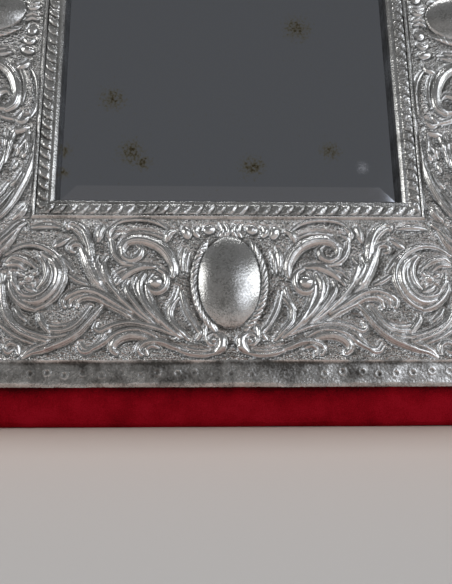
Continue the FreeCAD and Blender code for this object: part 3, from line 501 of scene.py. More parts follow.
# The left and right sides end in one long leaf in place of these motifs, drawn over the same half panel
SIDES_WITHOUT = (
    "curled_leaf", "tall_plume", "hooked_plume", "pointed_stem",
    "ring_stem", "corner_volute", "corner_leaf",
)
SIDE_LEAF = [
    (2.4, 2.9, (0.6, 0.3), [(98, 16), (113, 16.8), (120.4, 18.3), (127.9, 20.3), (135.4, 23),
        (142.7, 26.6), (150, 30.5), (157, 35.5), (164, 43), (171, 53), (179, 66), (188, 81), (197, 97),
        (204, 112)]),
    (1.2, 2.0, EVEN, [(126.4, 24.1), (130.9, 26.3), (135.4, 29), (138.3, 32.1)]),
    (1.2, 2.0, (0.4, 0.3), [(139, 27.9), (142.7, 31.4), (146.3, 34), (152.2, 38.7), (160, 47), (167, 58),
        (174, 71)]),
    (1.3, 2.0, (0.5, 0.4), [(96, 22.8), (109.9, 22.6), (114.5, 23.1), (116.7, 24.6)]),
    (1.2, 1.9, (0.5, 0.4), [(98, 21.6), (106.2, 25.2), (110.7, 27.9), (115.3, 29.8)]),
    (1.2, 1.9, (0.5, 0.4), [(95, 32), (106.2, 35), (111.5, 36.1), (118.3, 37.8), (121.3, 38.5)]),
    (0.9, 1.5, (0.5, 0.4), [(120.5, 29.4), (123, 30.2), (125.8, 31.4)]),
    (1.2, 1.9, (0.4, 0.3), [(136.9, 34.8), (140.5, 37.1), (144.2, 39.4), (152, 48), (159, 60), (164, 73),
        (168, 86)]),
    (1.4, 2.1, (0.5, 0.3), [(97, 38.4), (113, 39.3), (124, 42), (135, 48), (146, 58), (156, 71),
        (165, 86), (172, 102)]),
    (1.6, 2.2, (0.5, 0.3), [(97, 51), (110, 53), (121, 58), (132, 66), (142, 77), (150, 90), (156, 104),
        (158, 114)]),
    (1.5, 2.1, (0.5, 0.3), [(99, 69.3), (109, 71), (119, 77), (128, 87), (135, 99), (139, 111)]),
    (1.4, 2.0, (0.5, 0.4), [(97, 80), (106, 83), (114, 90), (120, 100), (123, 111), (119, 117),
        (114, 114)]),
    (1.3, 1.9, (0.4, 0.5), [(139, 111), (144, 117), (150, 116), (150, 111), (146, 110)]),
    (1.3, 1.9, (0.4, 0.5), [(172, 102), (177, 113), (184, 118), (190, 115), (188, 110)]),
    (1.6, 2.4, (0.4, 0.5), [(152.8, 19.9), (157.1, 22.1), (160.7, 24.8), (162.9, 27.8)]),
    (2.0, 2.6, (0.4, 0.3), [(163.4, 21.5), (166.4, 26.6), (172, 32.3), (185, 46), (205, 68), (225, 90),
        (246, 113)]),
    (1.5, 2.1, (0.3, 0.3), [(168, 41), (180, 56), (193, 74), (207, 93), (218, 110)]),
    (1.2, 1.8, (0.3, 0.3), [(190, 60), (203, 77), (216, 95), (228, 113)]),
    (1.3, 1.8, EVEN, [(191, 119.5), (202, 120), (214, 120.4)]),
]

# Motifs without chased lines
SMOOTH_MOTIFS = ("shell", "ball_volute", "base_volute")

# Rows of small punched beads that follow a line: radius, rise, spacing, points (along, out)
BEAD_ROWS = [
    (0.9, 0.8, 3.0, [(51, 26), (58, 22.6), (66, 21.2), (74, 21.6), (82, 24.4)]),
    (0.8, 0.7, 2.6, [(70.5, 45.3), (73.6, 46), (76, 43.4)]),
]


def to_world(x, y, z):
    """Bench coordinates in millimetres, as arrays, to points of the part's frame in metres."""
    depth = y + VELVET_THICKNESS
    back = depth * math.cos(LEAN) + z * math.sin(LEAN) + FRONT_EDGE
    up = z * math.cos(LEAN) - depth * math.sin(LEAN)
    return np.stack(np.broadcast_arrays(x, back, up), axis=-1) * MILLIMETRE


def on_side(side, along, out, height):
    """Points of one side of the frame, given along, out and up from the face of the core."""
    _, across, quarters = SIDES[side]
    x, z = along, -(across + out)
    for _ in range(quarters):
        x, z = -z, x
    return to_world(x, -height, CENTRE_HEIGHT + z)


def strip_grid(half_length, near, far, rows, shares):
    """Along and out over a mitred strip of a side, between two distances from the sight edge."""
    out = np.linspace(near, far, rows)[:, None] + 0 * shares
    return shares * (half_length + out), out


def smooth_line(points, step):
    """Samples about a step apart on the smooth line through given points."""
    points = np.array(points, float)
    ends = np.vstack([2 * points[0] - points[1], points, 2 * points[-1] - points[-2]])
    runs = []
    for a, b, c, d in zip(ends, ends[1:], ends[2:], ends[3:]):
        count = max(int(np.linalg.norm(c - b) / step), 1)
        t = np.arange(count)[:, None] / count
        square, cube = 2 * a - 5 * b + 4 * c - d, 3 * b - a - 3 * c + d
        runs.append(0.5 * (2 * b + (c - a) * t + square * t**2 + cube * t**3))
    return np.vstack(runs + [points[-1:]])


def eased(share):
    """A share from 0 to 1 that starts and ends gently."""
    return share * share * (3 - 2 * share)


def grain(along, out, cell, seed):
    """Smooth random bumps about a cell across, from -1 to 1."""
    x, y = (along - along.min()) / cell, (out - out.min()) / cell
    i, j = x.astype(int), y.astype(int)
    lattice = np.random.default_rng(seed).uniform(-1, 1, (i.max() + 2, j.max() + 2))
    u, v = eased(x - i), eased(y - j)
    low = lattice[i, j] * (1 - u) + lattice[i + 1, j] * u
    high = lattice[i, j + 1] * (1 - u) + lattice[i + 1, j + 1] * u
    return low * (1 - v) + high * v


def waves(along, out, layers, turns):
    """The sum of several layers of grain, with seeds moved on by the turns of a side."""
    return sum(depth * grain(along, share * out, cell, seed + turns) for depth, cell, share, seed in layers)


def blurred(field, reach):
    """A field of heights, smoothed over a few rows and columns."""
    weights = np.exp(-0.5 * (np.arange(-2 * reach, 2 * reach + 1) / reach) ** 2)
    weights /= weights.sum()
    for axis in (0, 1):
        margins = [(2 * reach, 2 * reach) if k == axis else (0, 0) for k in (0, 1)]
        padded, size = np.pad(field, margins, mode="edge"), field.shape[axis]
        field = sum(w * np.take(padded, range(k, k + size), axis) for k, w in enumerate(weights))
    return field


def window(along, out, line, reach):
    """The block of a grid within reach of a line, as slices of rows and columns."""
    rows = np.nonzero((out[:, 0] > line[:, 1].min() - reach) & (out[:, 0] < line[:, 1].max() + reach))[0]
    if not len(rows):
        return None
    near = (along[rows] > line[:, 0].min() - reach) & (along[rows] < line[:, 0].max() + reach)
    columns = np.nonzero(near.any(axis=0))[0]
    if not len(columns):
        return None
    return np.s_[rows[0] : rows[-1] + 1, columns[0] : columns[-1] + 1]


def swept(along, out, line, half_width, rise):
    """For a bar along a line: share of its half width, distance from the line, rise, distance outside."""
    gap = np.hypot(along[..., None] - line[:, 0], out[..., None] - line[:, 1])
    shares = gap / half_width
    nearest = shares.argmin(axis=-1)
    share, across = (np.take_along_axis(near, nearest[..., None], -1)[..., 0] for near in (shares, gap))
    rises = np.broadcast_to(rise, len(line))[nearest]
    return np.minimum(share, 1.0), across, rises, (gap - half_width).min(axis=-1)


def add_bars(field, along, out, step, half_width, height, points, power):
    """Raises a field along a line by a bar with a round section."""
    line = smooth_line(points, step)
    block = window(along, out, line, half_width)
    if block is not None:
        share, _, rises, _ = swept(along[block], out[block], line, half_width, height)
        field[block] = np.maximum(field[block], rises * (1 - share**2) ** power)


def taper(count, start, end):
    """Width shares along a line that thins towards its ends."""
    t = np.linspace(0, 1, count)
    rising = start + (1 - start) * np.sin(np.minimum(t / TAPER_SHARE, 1) * math.pi / 2)
    falling = end + (1 - end) * np.sin(np.minimum((1 - t) / TAPER_SHARE, 1) * math.pi / 2)
    return rising * falling


def ornament(along, out, ridges):
    """Over a half panel: broad swell, leaf ridges, distances outside the leaves and across their flutes."""
    swelling, ridge, smooth = (np.zeros(along.shape) for _ in range(3))
    edge, flute = (np.full(along.shape, NO_FLUTE) for _ in range(2))
    for half_width, rise, points in SWELLINGS:
        add_bars(swelling, along, out, SWELL_STEP, half_width, SWELL_DEPTH * rise, points, SWELL_POWER)
    for fluted, (half_width, rise, ends, points) in ridges:
        line = smooth_line(points, RIDGE_STEP)
        block = window(along, out, line, half_width + HALO_WINDOW * HALO_REACH)
        if block is None:
            continue
        shares = taper(len(line), *ends)
        widths = RIDGE_SPREAD * half_width * shares
        share, across, rises, beside = swept(along[block], out[block], line, widths, rise * shares)
        crest = 1 + CREST_ROUND - np.hypot(share, CREST_ROUND)
        height = rises * crest * (1 - share**RIDGE_FOOT_POWER)
        if fluted:
            flute[block] = np.minimum(flute[block], across)
        else:
            smooth[block] = np.maximum(smooth[block], height)
        ridge[block] = np.maximum(ridge[block], height)
        edge[block] = np.minimum(edge[block], beside)
    for radius, rise, spacing, points in BEAD_ROWS:
        add_bars(ridge, along, out, spacing, radius, rise, points, PUNCHED_BEAD_POWER)
    flute = np.where((smooth > 0) & (smooth >= ridge), NO_FLUTE, flute)
    halo = HALO_RISE * np.exp(-((np.maximum(edge, 0) / HALO_REACH) ** 2))
    return np.maximum(swelling, halo), ridge, edge, flute


def boss_and_rope(along, out):
    """Heights of the smooth boss and of the twisted rope round it, and a mask of the boss."""
    along = along - BOSS_SHIFT
    drop = out - BOSS_OUT
    share = np.hypot(along / BOSS_HALF_WIDTH, drop / BOSS_HALF_LENGTH)
    angle = np.arcsin(np.clip(share, 0, 1) * math.sin(BOSS_RIM_ANGLE))
    rim = math.cos(BOSS_RIM_ANGLE)
    dome = np.where(share < 1, COLLAR_RISE + BOSS_RISE * (np.cos(angle) - rim) / (1 - rim), 0.0)
    wide, long = BOSS_HALF_WIDTH + ROPE_HALF_WIDTH, BOSS_HALF_LENGTH + ROPE_HALF_WIDTH + ROPE_GAP
    reach = np.hypot(along / wide, drop / long)
    slope = np.hypot(along / wide**2, drop / long**2) / np.maximum(reach, TINY)
    offset = (reach - 1) / np.maximum(slope, TINY)
    turn = np.arctan2(drop / long, along / wide)
    turns = np.linspace(-math.pi, math.pi, ROPE_SAMPLES)
    run = np.cumsum(np.hypot(wide * np.sin(turns), long * np.cos(turns))) * (turns[1] - turns[0])
    lay = np.interp(turn, turns, run) / ROPE_PITCH + ROPE_LAY * offset / ROPE_HALF_WIDTH
    strand = np.sqrt(1 - (2 * (lay % 1) - 1) ** 2)
    fade = np.clip((np.abs(along) - np.where(drop < 0, ROPE_OPEN_ABOVE, ROPE_OPEN_BELOW)) / ROPE_FADE, 0, 1)
    round_rope = np.sqrt(np.clip(1 - (offset / ROPE_HALF_WIDTH) ** 2, 0, 1))
    rope = ROPE_RISE * round_rope * (ROPE_CORE + (1 - ROPE_CORE) * strand) * fade
    return dome, rope, share < BOSS_EDGE


def field_relief(side):
    """Relief of the embossed field of a side: a half panel and its mirror image, with the boss between."""
    half_length, _, quarters = SIDES[side]
    shares = np.linspace(0, 1, FIELD_COLUMNS // 2 + 1)[None, :]
    along, out = strip_grid(half_length, MOULDING_WIDTH, FIELD_OUT, FIELD_ROWS, shares)
    stretch = (half_length + RAIL_WIDTH) / (HALF_LENGTH_DRAWN + RAIL_WIDTH)
    upright = side in ("left", "right")
    motifs = {name: motif for name, motif in RIDGES.items() if not (upright and name in SIDES_WITHOUT)}
    if upright:
        motifs["side_leaf"] = SIDE_LEAF
    ridges = [(name not in SMOOTH_MOTIFS, ridge) for name, motif in motifs.items() for ridge in motif]
    swelling, ridge, edge, flute = ornament(along / stretch, out, ridges)
    raised = swelling + ridge - GROOVE_DEPTH * np.exp(-((edge - GROOVE_PLACE) ** 2) / GROOVE_SPREAD)
    raised, edge, flute = (np.hstack([half[:, :0:-1], half]) for half in (raised, edge, flute))
    along = np.hstack([-along[:, :0:-1], along])
    out = np.hstack([out[:, :0:-1], out])
    dome, rope, on_boss = boss_and_rope(along, out)
    plain = (rope < ROPE_SEEN) & ~on_boss
    ground = np.clip((edge - GROUND_START) / GROUND_RAMP, 0, 1) * plain
    raised = np.where(on_boss, dome, np.maximum(raised, rope))
    hammered = waves(along, out, FIELD_HAMMERING, quarters)
    dents = waves(along, out, FIELD_DENTS, quarters)
    height = GROUND_HEIGHT + raised + np.where(on_boss, BOSS_HAMMERING * hammered, hammered + dents)
    sunk = np.minimum(blurred(height, FIELD_BLUR) - height, SUNK_LIMIT)
    aside = (along - BOSS_SHIFT) / PATINA_HALF_WIDTH
    below = (out - BOSS_OUT - PATINA_DROP) / PATINA_HALF_LENGTH
    patina = BOSS_TARNISH + PATINA_TARNISH * np.exp(-(aside**2) - below**2)
    stained = np.clip(FIELD_TARNISH + HOLLOW_TARNISH * sunk + GROUND_TARNISH * ground, 0, 1)
    tarnish = np.where(on_boss, patina, stained)
    matting = np.where(on_boss, BOSS_MATTING, ground)
    return along, out, height, tarnish, matting, np.where(plain, flute, NO_FLUTE)


def border_relief(side):
    """Relief of the flat border of a side, with its row of punched rings."""
    half_length, _, quarters = SIDES[side]
    shares = np.linspace(-1, 1, BORDER_COLUMNS)[None, :]
    along, out = strip_grid(half_length, FIELD_OUT, RAIL_WIDTH, BORDER_ROWS, shares)
    fold = eased(np.clip((out - FIELD_OUT) / FOLD_WIDTH, 0, 1))
    fall = np.clip((out - FIELD_OUT) / (RAIL_WIDTH - EDGE_ROUND - FIELD_OUT), 0, 1)
    height = GROUND_HEIGHT - FOLD_DROP * fold - (GROUND_HEIGHT - FOLD_DROP - BORDER_HEIGHT) * fall
    over = np.clip((out - (RAIL_WIDTH - EDGE_ROUND)) / EDGE_ROUND, 0, 1)
    height = height - EDGE_DROP * over**EDGE_POWER
    count = int((half_length + PUNCH_OUT - PUNCH_END) / PUNCH_PITCH)
    strays = np.random.default_rng(PUNCH_SEED + quarters).normal(0, PUNCH_STRAY, (2 * count + 1, 2))
    number = np.clip(np.round(along / PUNCH_PITCH), -count, count).astype(int)
    stray = strays[number + count]
    reach = np.hypot(along - number * PUNCH_PITCH - stray[..., 0], out - PUNCH_OUT - stray[..., 1])
    ring = np.exp(-(((reach - PUNCH_RADIUS) / PUNCH_WALL) ** 2))
    ring = ring - PIT_DEPTH * np.exp(-((reach / PIT_RADIUS) ** 2))
    wear = np.clip(PUNCH_WEAR + waves(along, out, BORDER_WEAR, quarters), *PUNCH_WEAR_LIMITS)
    swells = waves(along, out, BORDER_SWELLS, quarters)
    height = height + PUNCH_RISE * ring * wear + swells * fold * (1 - over)
    sunk = blurred(height, EDGE_BLUR) - height
    groove = np.exp(-(((out - FIELD_OUT - FOLD_WIDTH) / FOLD_GROOVE) ** 2))
    stains_and_shade = STAIN_LEVEL + waves(along, out, BORDER_STAINS, quarters)
    # Painted shade: the border darkens towards the middle of each side, standing in for the dark reflection
    # there.
    stains_and_shade = stains_and_shade + MIDDLE_SHADE * np.exp(-((along / MIDDLE_SHADE_REACH) ** 2))
    dull = BORDER_TARNISH + STAIN_TARNISH * stains_and_shade + BORDER_HOLLOW_TARNISH * sunk + FOLD_TARNISH * groove
    tarnish = np.clip(dull, 0, 1) * (1 - EDGE_POLISH * over)
    return along, out, height, tarnish, BORDER_MATTING * fold, NO_FLUTE + 0 * fold


def moulding_relief(side):
    """Relief of the gadrooned moulding of a side, with its lip and bead."""
    half_length, _, quarters = SIDES[side]
    shares = np.linspace(-1, 1, int(2 * (half_length + MOULDING_WIDTH) / MOULDING_STEP))[None, :]
    along, out = strip_grid(half_length, 0, MOULDING_WIDTH, MOULDING_ROWS, shares)
    middle = LIP_WIDTH + GADROON_BAND / 2
    lobes = round(2 * (half_length + middle) / GADROON_PITCH)
    pitch = 2 * (half_length + middle) / lobes
    place = np.clip((out - middle) / (GADROON_BAND / 2), -1, 1)
    drift = GADROON_BAND / 2 / math.tan(GADROON_SLANT) * (place + LOBE_BEND * place**2)
    across = (((along + half_length + middle + drift) / pitch) % 1) ** LOBE_SKEW
    swell = np.sqrt(np.clip(1 - np.abs(place) ** LOBE_POWER, 0, 1))
    lobe = np.sqrt(np.clip(1 - (2 * across - 1) ** 2, 0, 1)) * swell
    lobe = lobe * (LOBE_HEIGHT + waves(along, out, LOBE_WEAR, quarters))
    gadroon = GADROON_FLOOR + GADROON_RISE * lobe
    bead = GADROON_FLOOR + BEAD_RISE * np.interp(out, BEAD_OUT, BEAD_SHARES)
    lip = LIP_HEIGHT - CHAMFER_DROP * np.clip(1 - out / CHAMFER_WIDTH, 0, 1) ** CHAMFER_POWER
    on_lip, on_bead = out < LIP_WIDTH, out >= LIP_WIDTH + GADROON_BAND
    height = np.where(on_lip, lip, np.where(on_bead, bead, gadroon))
    rough = 1 - BAND_POLISH * (on_lip | on_bead)
    dents = rough * waves(along, out, MOULDING_DENTS, quarters)
    height = height + waves(along, out, MOULDING_SWELLS, quarters) + dents
    sunk = blurred(height, EDGE_BLUR) - height
    dull = MOULDING_TARNISH + MOULDING_HOLLOW_TARNISH * sunk + waves(along, out, MOULDING_STAINS, quarters)
    return along, out, height, np.clip(dull, 0, 1), MOULDING_MATTING * rough, NO_FLUTE + 0 * dull


def add_piece(name, mesh, material):
    """A new object in the scene with one material."""
    piece = bpy.data.objects.new(name, mesh)
    bpy.context.scene.collection.objects.link(piece)
    mesh.materials.append(material)
    return piece


def polygon_mesh(name, points, quads, caps, maps):
    """A smooth mesh of quads and larger caps, with a map for each corner."""
    corners = np.concatenate([quads.ravel()] + caps)
    sizes = [4] * len(quads) + [len(cap) for cap in caps]
    mesh = bpy.data.meshes.new(name)
    mesh.vertices.add(len(points))
    mesh.vertices.foreach_set("co", points.ravel().astype(np.float32))
    mesh.loops.add(len(corners))
    mesh.loops.foreach_set("vertex_index", corners.astype(np.int32))
    mesh.polygons.add(len(sizes))
    mesh.polygons.foreach_set("loop_start", np.concatenate([[0], np.cumsum(sizes)[:-1]]).astype(np.int32))
    mesh.polygons.foreach_set("use_smooth", np.ones(len(sizes), bool))
    mesh.uv_layers.new(name="OFBake").data.foreach_set("uv", maps.ravel().astype(np.float32))
    mesh.update(calc_edges=True)
    mesh.set_sharp_from_angle(angle=SHARP_ANGLE)
    return mesh


def add_values(mesh, name, field):
    """A value on each point of a mesh, for its material."""
    values = mesh.attributes.new(name, "FLOAT", "POINT").data
    values.foreach_set("value", field.ravel().astype(np.float32))


def grid_quads(rows, columns):
    """Corner numbers of the quads of a grid that is numbered row by row."""
    first = (np.arange(rows - 1)[:, None] * columns + np.arange(columns - 1)[None, :]).ravel()
    return np.stack([first, first + columns, first + columns + 1, first + 1], axis=1)


def relief_piece(name, side, relief, base, wall_matting, material):
    """A closed piece whose face is a field of heights, with walls down to a base height."""
    along, out, height, tarnish, matting, flute = (np.pad(field, 1, mode="edge") for field in relief)
    rim = np.ones(height.shape, bool)
    rim[1:-1, 1:-1] = False
    height = np.where(rim, base, height)
    matting = np.where(rim, wall_matting, matting)
    rows, columns = height.shape
    points = on_side(side, along, out, height).reshape(-1, 3)
    quads = grid_quads(rows, columns)
    number = np.arange(rows * columns).reshape(rows, columns)
    cap = np.concatenate([number[0, :-1], number[:-1, -1], number[-1, :0:-1], number[:0:-1, 0]])
    u = np.tile(np.linspace(0, 1, columns), rows)
    v = np.repeat(np.linspace(0, RELIEF_MAP_TOP, rows), columns)
    front_map = np.stack([u, v], axis=1)[quads.ravel()]
    cap_map = np.stack([u[cap], RELIEF_CAP_MAP + RELIEF_CAP_SHARE * v[cap]], axis=1)
    mesh = polygon_mesh(name, points, quads, [cap], np.concatenate([front_map, cap_map]))
    for word, field in (("tarnish", tarnish), ("matting", matting), ("flute", flute)):
        add_values(mesh, word, field)
    return add_piece(name, mesh, material)


def arc(centre, radius, start, end, count):
    """Points on part of a circle, with angles in degrees."""
    turns = np.radians(np.linspace(start, end, count))
    return np.stack([centre[0] + radius * np.cos(turns), centre[1] + radius * np.sin(turns)], axis=1)


def velvet_section():
    """The outer and the inner line of the velvet, across a strip: out and height."""
    front, back = VELVET_THICKNESS, -CORE_DEPTH - VELVET_THICKNESS
    tuck, turn = RAIL_WIDTH - VELVET_TUCK, BOARD_OUT - VELVET_TURN
    corner, wall = BOARD_OUT - VELVET_BEND, BOARD_OUT - VELVET_THICKNESS
    face = np.linspace(tuck, corner, VELVET_FRONT_SAMPLES)
    outer = np.vstack([
        np.stack([face, np.full(VELVET_FRONT_SAMPLES, front)], axis=1)[:-1],
        arc((corner, front - VELVET_BEND), VELVET_BEND, 90, 0, VELVET_BEND_SAMPLES),
        arc((corner, back + VELVET_BEND), VELVET_BEND, 0, -90, VELVET_BEND_SAMPLES),
        [(turn, back)],
    ])
    inner_back = back + VELVET_THICKNESS
    return outer, np.array([(turn, inner_back), (wall, inner_back), (wall, 0), (tuck, 0)])


def velvet_piece(side, material):
    """One strip of velvet over the edge of the core, tucked under the silver and turned onto the back."""
    half_length, _, quarters = SIDES[side]
    outer, inner = velvet_section()
    section = np.vstack([outer, inner])
    shares = np.linspace(-1, 1, int(2 * (half_length + BOARD_OUT) / VELVET_STATION))
    out = section[:, :1] + 0 * shares
    along = shares[None, :] * (half_length + out)
    height = section[:, 1:] + 0 * shares
    loose = np.zeros((len(section), 1))
    loose[1 : len(outer) - 1] = 1.0
    sinking = loose * (waves(along, out, VELVET_WAVES, quarters) + VELVET_WAVE_DEPTH)
    height = height - FRONT_SLACK * sinking * (section[:, 1:] > 0)
    slack = FOOT_SLACK if side == "bottom" else EDGE_SLACK
    out = out - slack * sinking * (section[:, :1] > BOARD_OUT - VELVET_BEND)
    points = on_side(side, along, out, height)
    floor = np.where(np.arange(len(section)) < len(outer), 0.0, VELVET_THICKNESS * MILLIMETRE)
    points[..., 2] = np.maximum(points[..., 2], floor[:, None])
    rows, columns = points.shape[:2]
    quads = grid_quads(rows, columns)
    first = np.arange(columns - 1)
    last = first + (rows - 1) * columns
    seam = np.stack([last, first, first + 1, last + 1], axis=1)
    left = np.arange(rows) * columns
    caps = [left, left[::-1] + columns - 1]
    travel = np.concatenate([[0], np.cumsum(np.linalg.norm(np.diff(section, axis=0), axis=1))])
    v = np.repeat(travel / travel[-1] * VELVET_MAP_TOP, columns)
    u = np.tile((shares + 1) / 2, rows)
    face_map = np.stack([u, v], axis=1)
    seam_map = face_map[seam.ravel()]
    seam_map[:, 1] = np.where(seam_map[:, 1] > VELVET_MAP_TOP / 2, *SEAM_MAP)
    cap_rows = VELVET_CAP_MAP + VELVET_CAP_HEIGHT * (np.arange(rows) % 2)
    starts = zip(VELVET_CAP_STARTS, caps)
    cap_maps = [np.stack([start + VELVET_CAP_WIDTH * v[cap], cap_rows], axis=1) for start, cap in starts]
    maps = np.concatenate([face_map[quads.ravel()], seam_map] + cap_maps)
    mesh = polygon_mesh("velvet_cloth_" + side, points.reshape(-1, 3), np.vstack([quads, seam]), caps, maps)
    # Painted shade: the velvet's face is darkened under the overhanging silver and along its outer edge,
    # where shade falls.
    painted_shade = SHADE_UNDER_SILVER * np.exp(-np.abs(out - RAIL_WIDTH) / VELVET_SHADE_REACH)
    painted_shade = painted_shade + SHADE_AT_OUTER_EDGE * np.exp(-np.abs(BOARD_OUT - out) / VELVET_SHADE_REACH)
    add_values(mesh, "painted_shade", painted_shade * (height > 0))
    return add_piece("velvet_cloth_" + side, mesh, material)


class Nodes:
    """Adds nodes to a material or to the room; an input is a number, a colour or a node's output."""

    def __init__(self, tree):
        self.tree = tree

    def feed(self, node, inputs):
        """Sets or links inputs of a node, given by name or number."""
        for socket, value in inputs.items():
            if isinstance(value, bpy.types.NodeSocket):
                self.tree.links.new(value, node.inputs[socket])
            else:
                node.inputs[socket].default_value = value

    def add(self, kind, inputs, **settings):
        """A new node."""
        made = self.tree.nodes.new("ShaderNode" + kind)
        for key, value in settings.items():
            setattr(made, key, value)
        self.feed(made, inputs)
        return made

    def shade(self, inputs):
        """Feeds the material's shader."""
        self.feed(self.tree.nodes["Principled BSDF"], inputs)

    def place(self, kind="Object"):
        """A place on the piece."""
        return self.add("TexCoord", {}).outputs[kind]

    def value(self, name):
        """A value that the mesh carries on its points."""
        return self.add("Attribute", {}, attribute_name=name).outputs["Fac"]

    def noise(self, place, scale, detail, roughness, distortion=0.0):
        """A soft random value."""
        inputs = {"Vector": place, "Scale": scale, "Detail": detail, "Roughness": roughness}
        return self.add("TexNoise", {**inputs, "Distortion": distortion}).outputs["Fac"]

    def math(self, operation, *values, clamp=False):
        """One sum on values."""
        return self.add("Math", dict(enumerate(values)), operation=operation, use_clamp=clamp).outputs[0]

    def spread(self, value, source, target):
        """A value carried from one range to another."""
        limits = zip(("From Min", "From Max", "To Min", "To Max"), (*source, *target))
        return self.add("MapRange", {"Value": value, **dict(limits)}).outputs[0]

    def ramp(self, value, tones):
        """A colour by value: pairs of position and colour."""
        made = self.add("ValToRGB", {"Fac": value})
        elements = made.color_ramp.elements
        while len(elements) < len(tones):
            elements.new(0.5)
        for element, (position, colour) in zip(elements, tones):
            element.position = position
            element.color = (*colour, 1.0)
        return made.outputs["Color"]

    def bump(self, height, strength, distance, **under):
        """A normal that leans with a height, over another normal if one is given."""
        inputs = {"Height": height, "Strength": strength, "Distance": distance, **under}
        return self.add("Bump", inputs).outputs[0]


def new_material(name):
    """A material, and what adds nodes to it."""
    material = bpy.data.materials.new(name)
    material.use_nodes = True
    return material, Nodes(material.node_tree)


def silver():
    """Worn silver plate: dark in its hollows, matted between the leaves, with fine flutes along them."""
    material, nodes = new_material("silver_plate")
    place = nodes.place()
    patches = nodes.noise(place, scale=60.0, detail=6.0, roughness=0.65)
    specks = nodes.noise(place, scale=700.0, detail=3.0, roughness=0.65)
    worn = nodes.math("MULTIPLY_ADD", nodes.math("ADD", patches, specks), 1.1, -1.04)
    dark = nodes.math("ADD", nodes.value("tarnish"), worn, clamp=True)
    grains = nodes.add("TexVoronoi", {"Vector": place, "Scale": 560.0, "Randomness": 1.0})
    uneven = nodes.noise(place, scale=420.0, detail=3.0, roughness=0.6)
    stipple = nodes.math("ADD", grains.outputs["Distance"], uneven)
    punched = nodes.math("MULTIPLY", stipple, nodes.value("matting"))
    coarse = nodes.bump(punched, strength=1.0, distance=0.0016)
    across = nodes.value("flute")
    turns = nodes.math("MULTIPLY", across, math.pi / FLUTE_PITCH)
    lines = nodes.math("ABSOLUTE", nodes.math("SINE", turns))
    chased = nodes.math("MULTIPLY", lines, nodes.spread(across, (2.0, 4.5), (1.0, 0.0)))
    fluted = nodes.bump(chased, strength=1.0, distance=0.00015, Normal=coarse)
    nodes.shade({
        "Metallic": 1.0,
        "Base Color": nodes.ramp(dark, SILVER_TONES),
        "Roughness": nodes.spread(dark, (0.0, 0.8), (0.16, 0.36)),
        "Normal": nodes.bump(specks, strength=0.35, distance=0.0004, Normal=fluted),
    })
    return material


def velvet():
    """Deep red short-pile velvet, with painted shade under the silver and along its outer edge."""
    material, nodes = new_material("red_velvet")
    place = nodes.place()
    brushed = nodes.noise(place, scale=38.0, detail=4.0, roughness=0.55)
    pile = nodes.noise(place, scale=1500.0, detail=2.0, roughness=0.6)
    # The pile's random tone, darkened by the painted shade that the mesh carries under the silver and along
    # the outer edge.
    nap_and_shade = nodes.math("SUBTRACT", nodes.math("ADD", brushed, pile), nodes.value("painted_shade"))
    nodes.shade({
        "Base Color": nodes.ramp(nap_and_shade, VELVET_TONES),
        "Roughness": 0.85,
        "Specular IOR Level": 0.05,
        "Sheen Weight": 0.12,
        "Sheen Roughness": 0.4,
        "Sheen Tint": SHEEN_TONE,
        "Normal": nodes.bump(pile, strength=0.35, distance=0.0004),
    })
    return material


def old_mirror():
    """Dim old mirror glass, foxed at a few places, with one pale bloom."""
    material, nodes = new_material("old_mirror")
    place = nodes.place()

    def near(x, up, radius):
        spot = nodes.add("VectorMath", {0: place, 1: to_world(x, GLASS_FRONT, up)}, operation="DISTANCE")
        return nodes.spread(spot.outputs["Value"], (0.0, radius * MILLIMETRE), (1.0, 0.0))

    reached = near(*FOXED_SPOTS[0])
    for spot in FOXED_SPOTS[1:]:
        reached = nodes.math("MAXIMUM", reached, near(*spot))
    mottle = nodes.noise(place, scale=420.0, detail=6.0, roughness=0.75)
    foxed = nodes.math("MULTIPLY_ADD", reached, 0.3, mottle)
    bloom = nodes.math("MULTIPLY", near(*BLOOM), mottle)
    cloud = nodes.noise(place, scale=14.0, detail=5.0, roughness=0.6)
    nodes.shade({
        "Base Color": nodes.ramp(foxed, GLASS_TONES),
        "Metallic": nodes.spread(bloom, (0.22, 0.5), (1.0, 0.4)),
        "Roughness": nodes.spread(cloud, (0.3, 0.8), (0.03, 0.12)),
    })
    return material


def wood(name, along_axis, light, dark):
    """Planed wood with its grain along one axis."""
    material, nodes = new_material(name)
    scale = [45.0, 45.0, 45.0]
    scale[along_axis] = 2.2
    drawn = nodes.add("Mapping", {"Vector": nodes.place(), "Scale": scale}).outputs[0]
    growth = nodes.noise(drawn, scale=1.6, detail=8.0, roughness=0.62, distortion=0.4)
    fibre = nodes.noise(drawn, scale=9.0, detail=4.0, roughness=0.6)
    mixed = nodes.math("ADD", growth, fibre)
    half = [(a + b) / 2 for a, b in zip(light, dark)]
    nodes.shade({
        "Base Color": nodes.ramp(mixed, [(0.72, dark), (0.95, half), (1.0, light)]),
        "Roughness": nodes.spread(fibre, (0.2, 0.8), (0.5, 0.75)),
        "Normal": nodes.bump(mixed, strength=0.25, distance=0.0006),
    })
    return material


def aged_metal(name, bright, dull, rough):
    """Brass or steel with dull patches."""
    material, nodes = new_material(name)
    patches = nodes.noise(nodes.place(), scale=120.0, detail=6.0, roughness=0.65)
    nodes.shade({
        "Metallic": 1.0,
        "Base Color": nodes.ramp(patches, [(0.35, dull), (0.62, bright)]),
        "Roughness": nodes.spread(patches, (0.3, 0.7), (rough + 0.18, rough)),
        "Normal": nodes.bump(patches, strength=0.15, distance=0.0004),
    })
    return material


def card():
    """Grey-brown backing card."""
    material, nodes = new_material("backing_card")
    fibres = nodes.noise(nodes.place(), scale=400.0, detail=4.0, roughness=0.5)
    nodes.shade({"Base Color": nodes.ramp(fibres, CARD_TONES), "Roughness": 0.9})
    return material


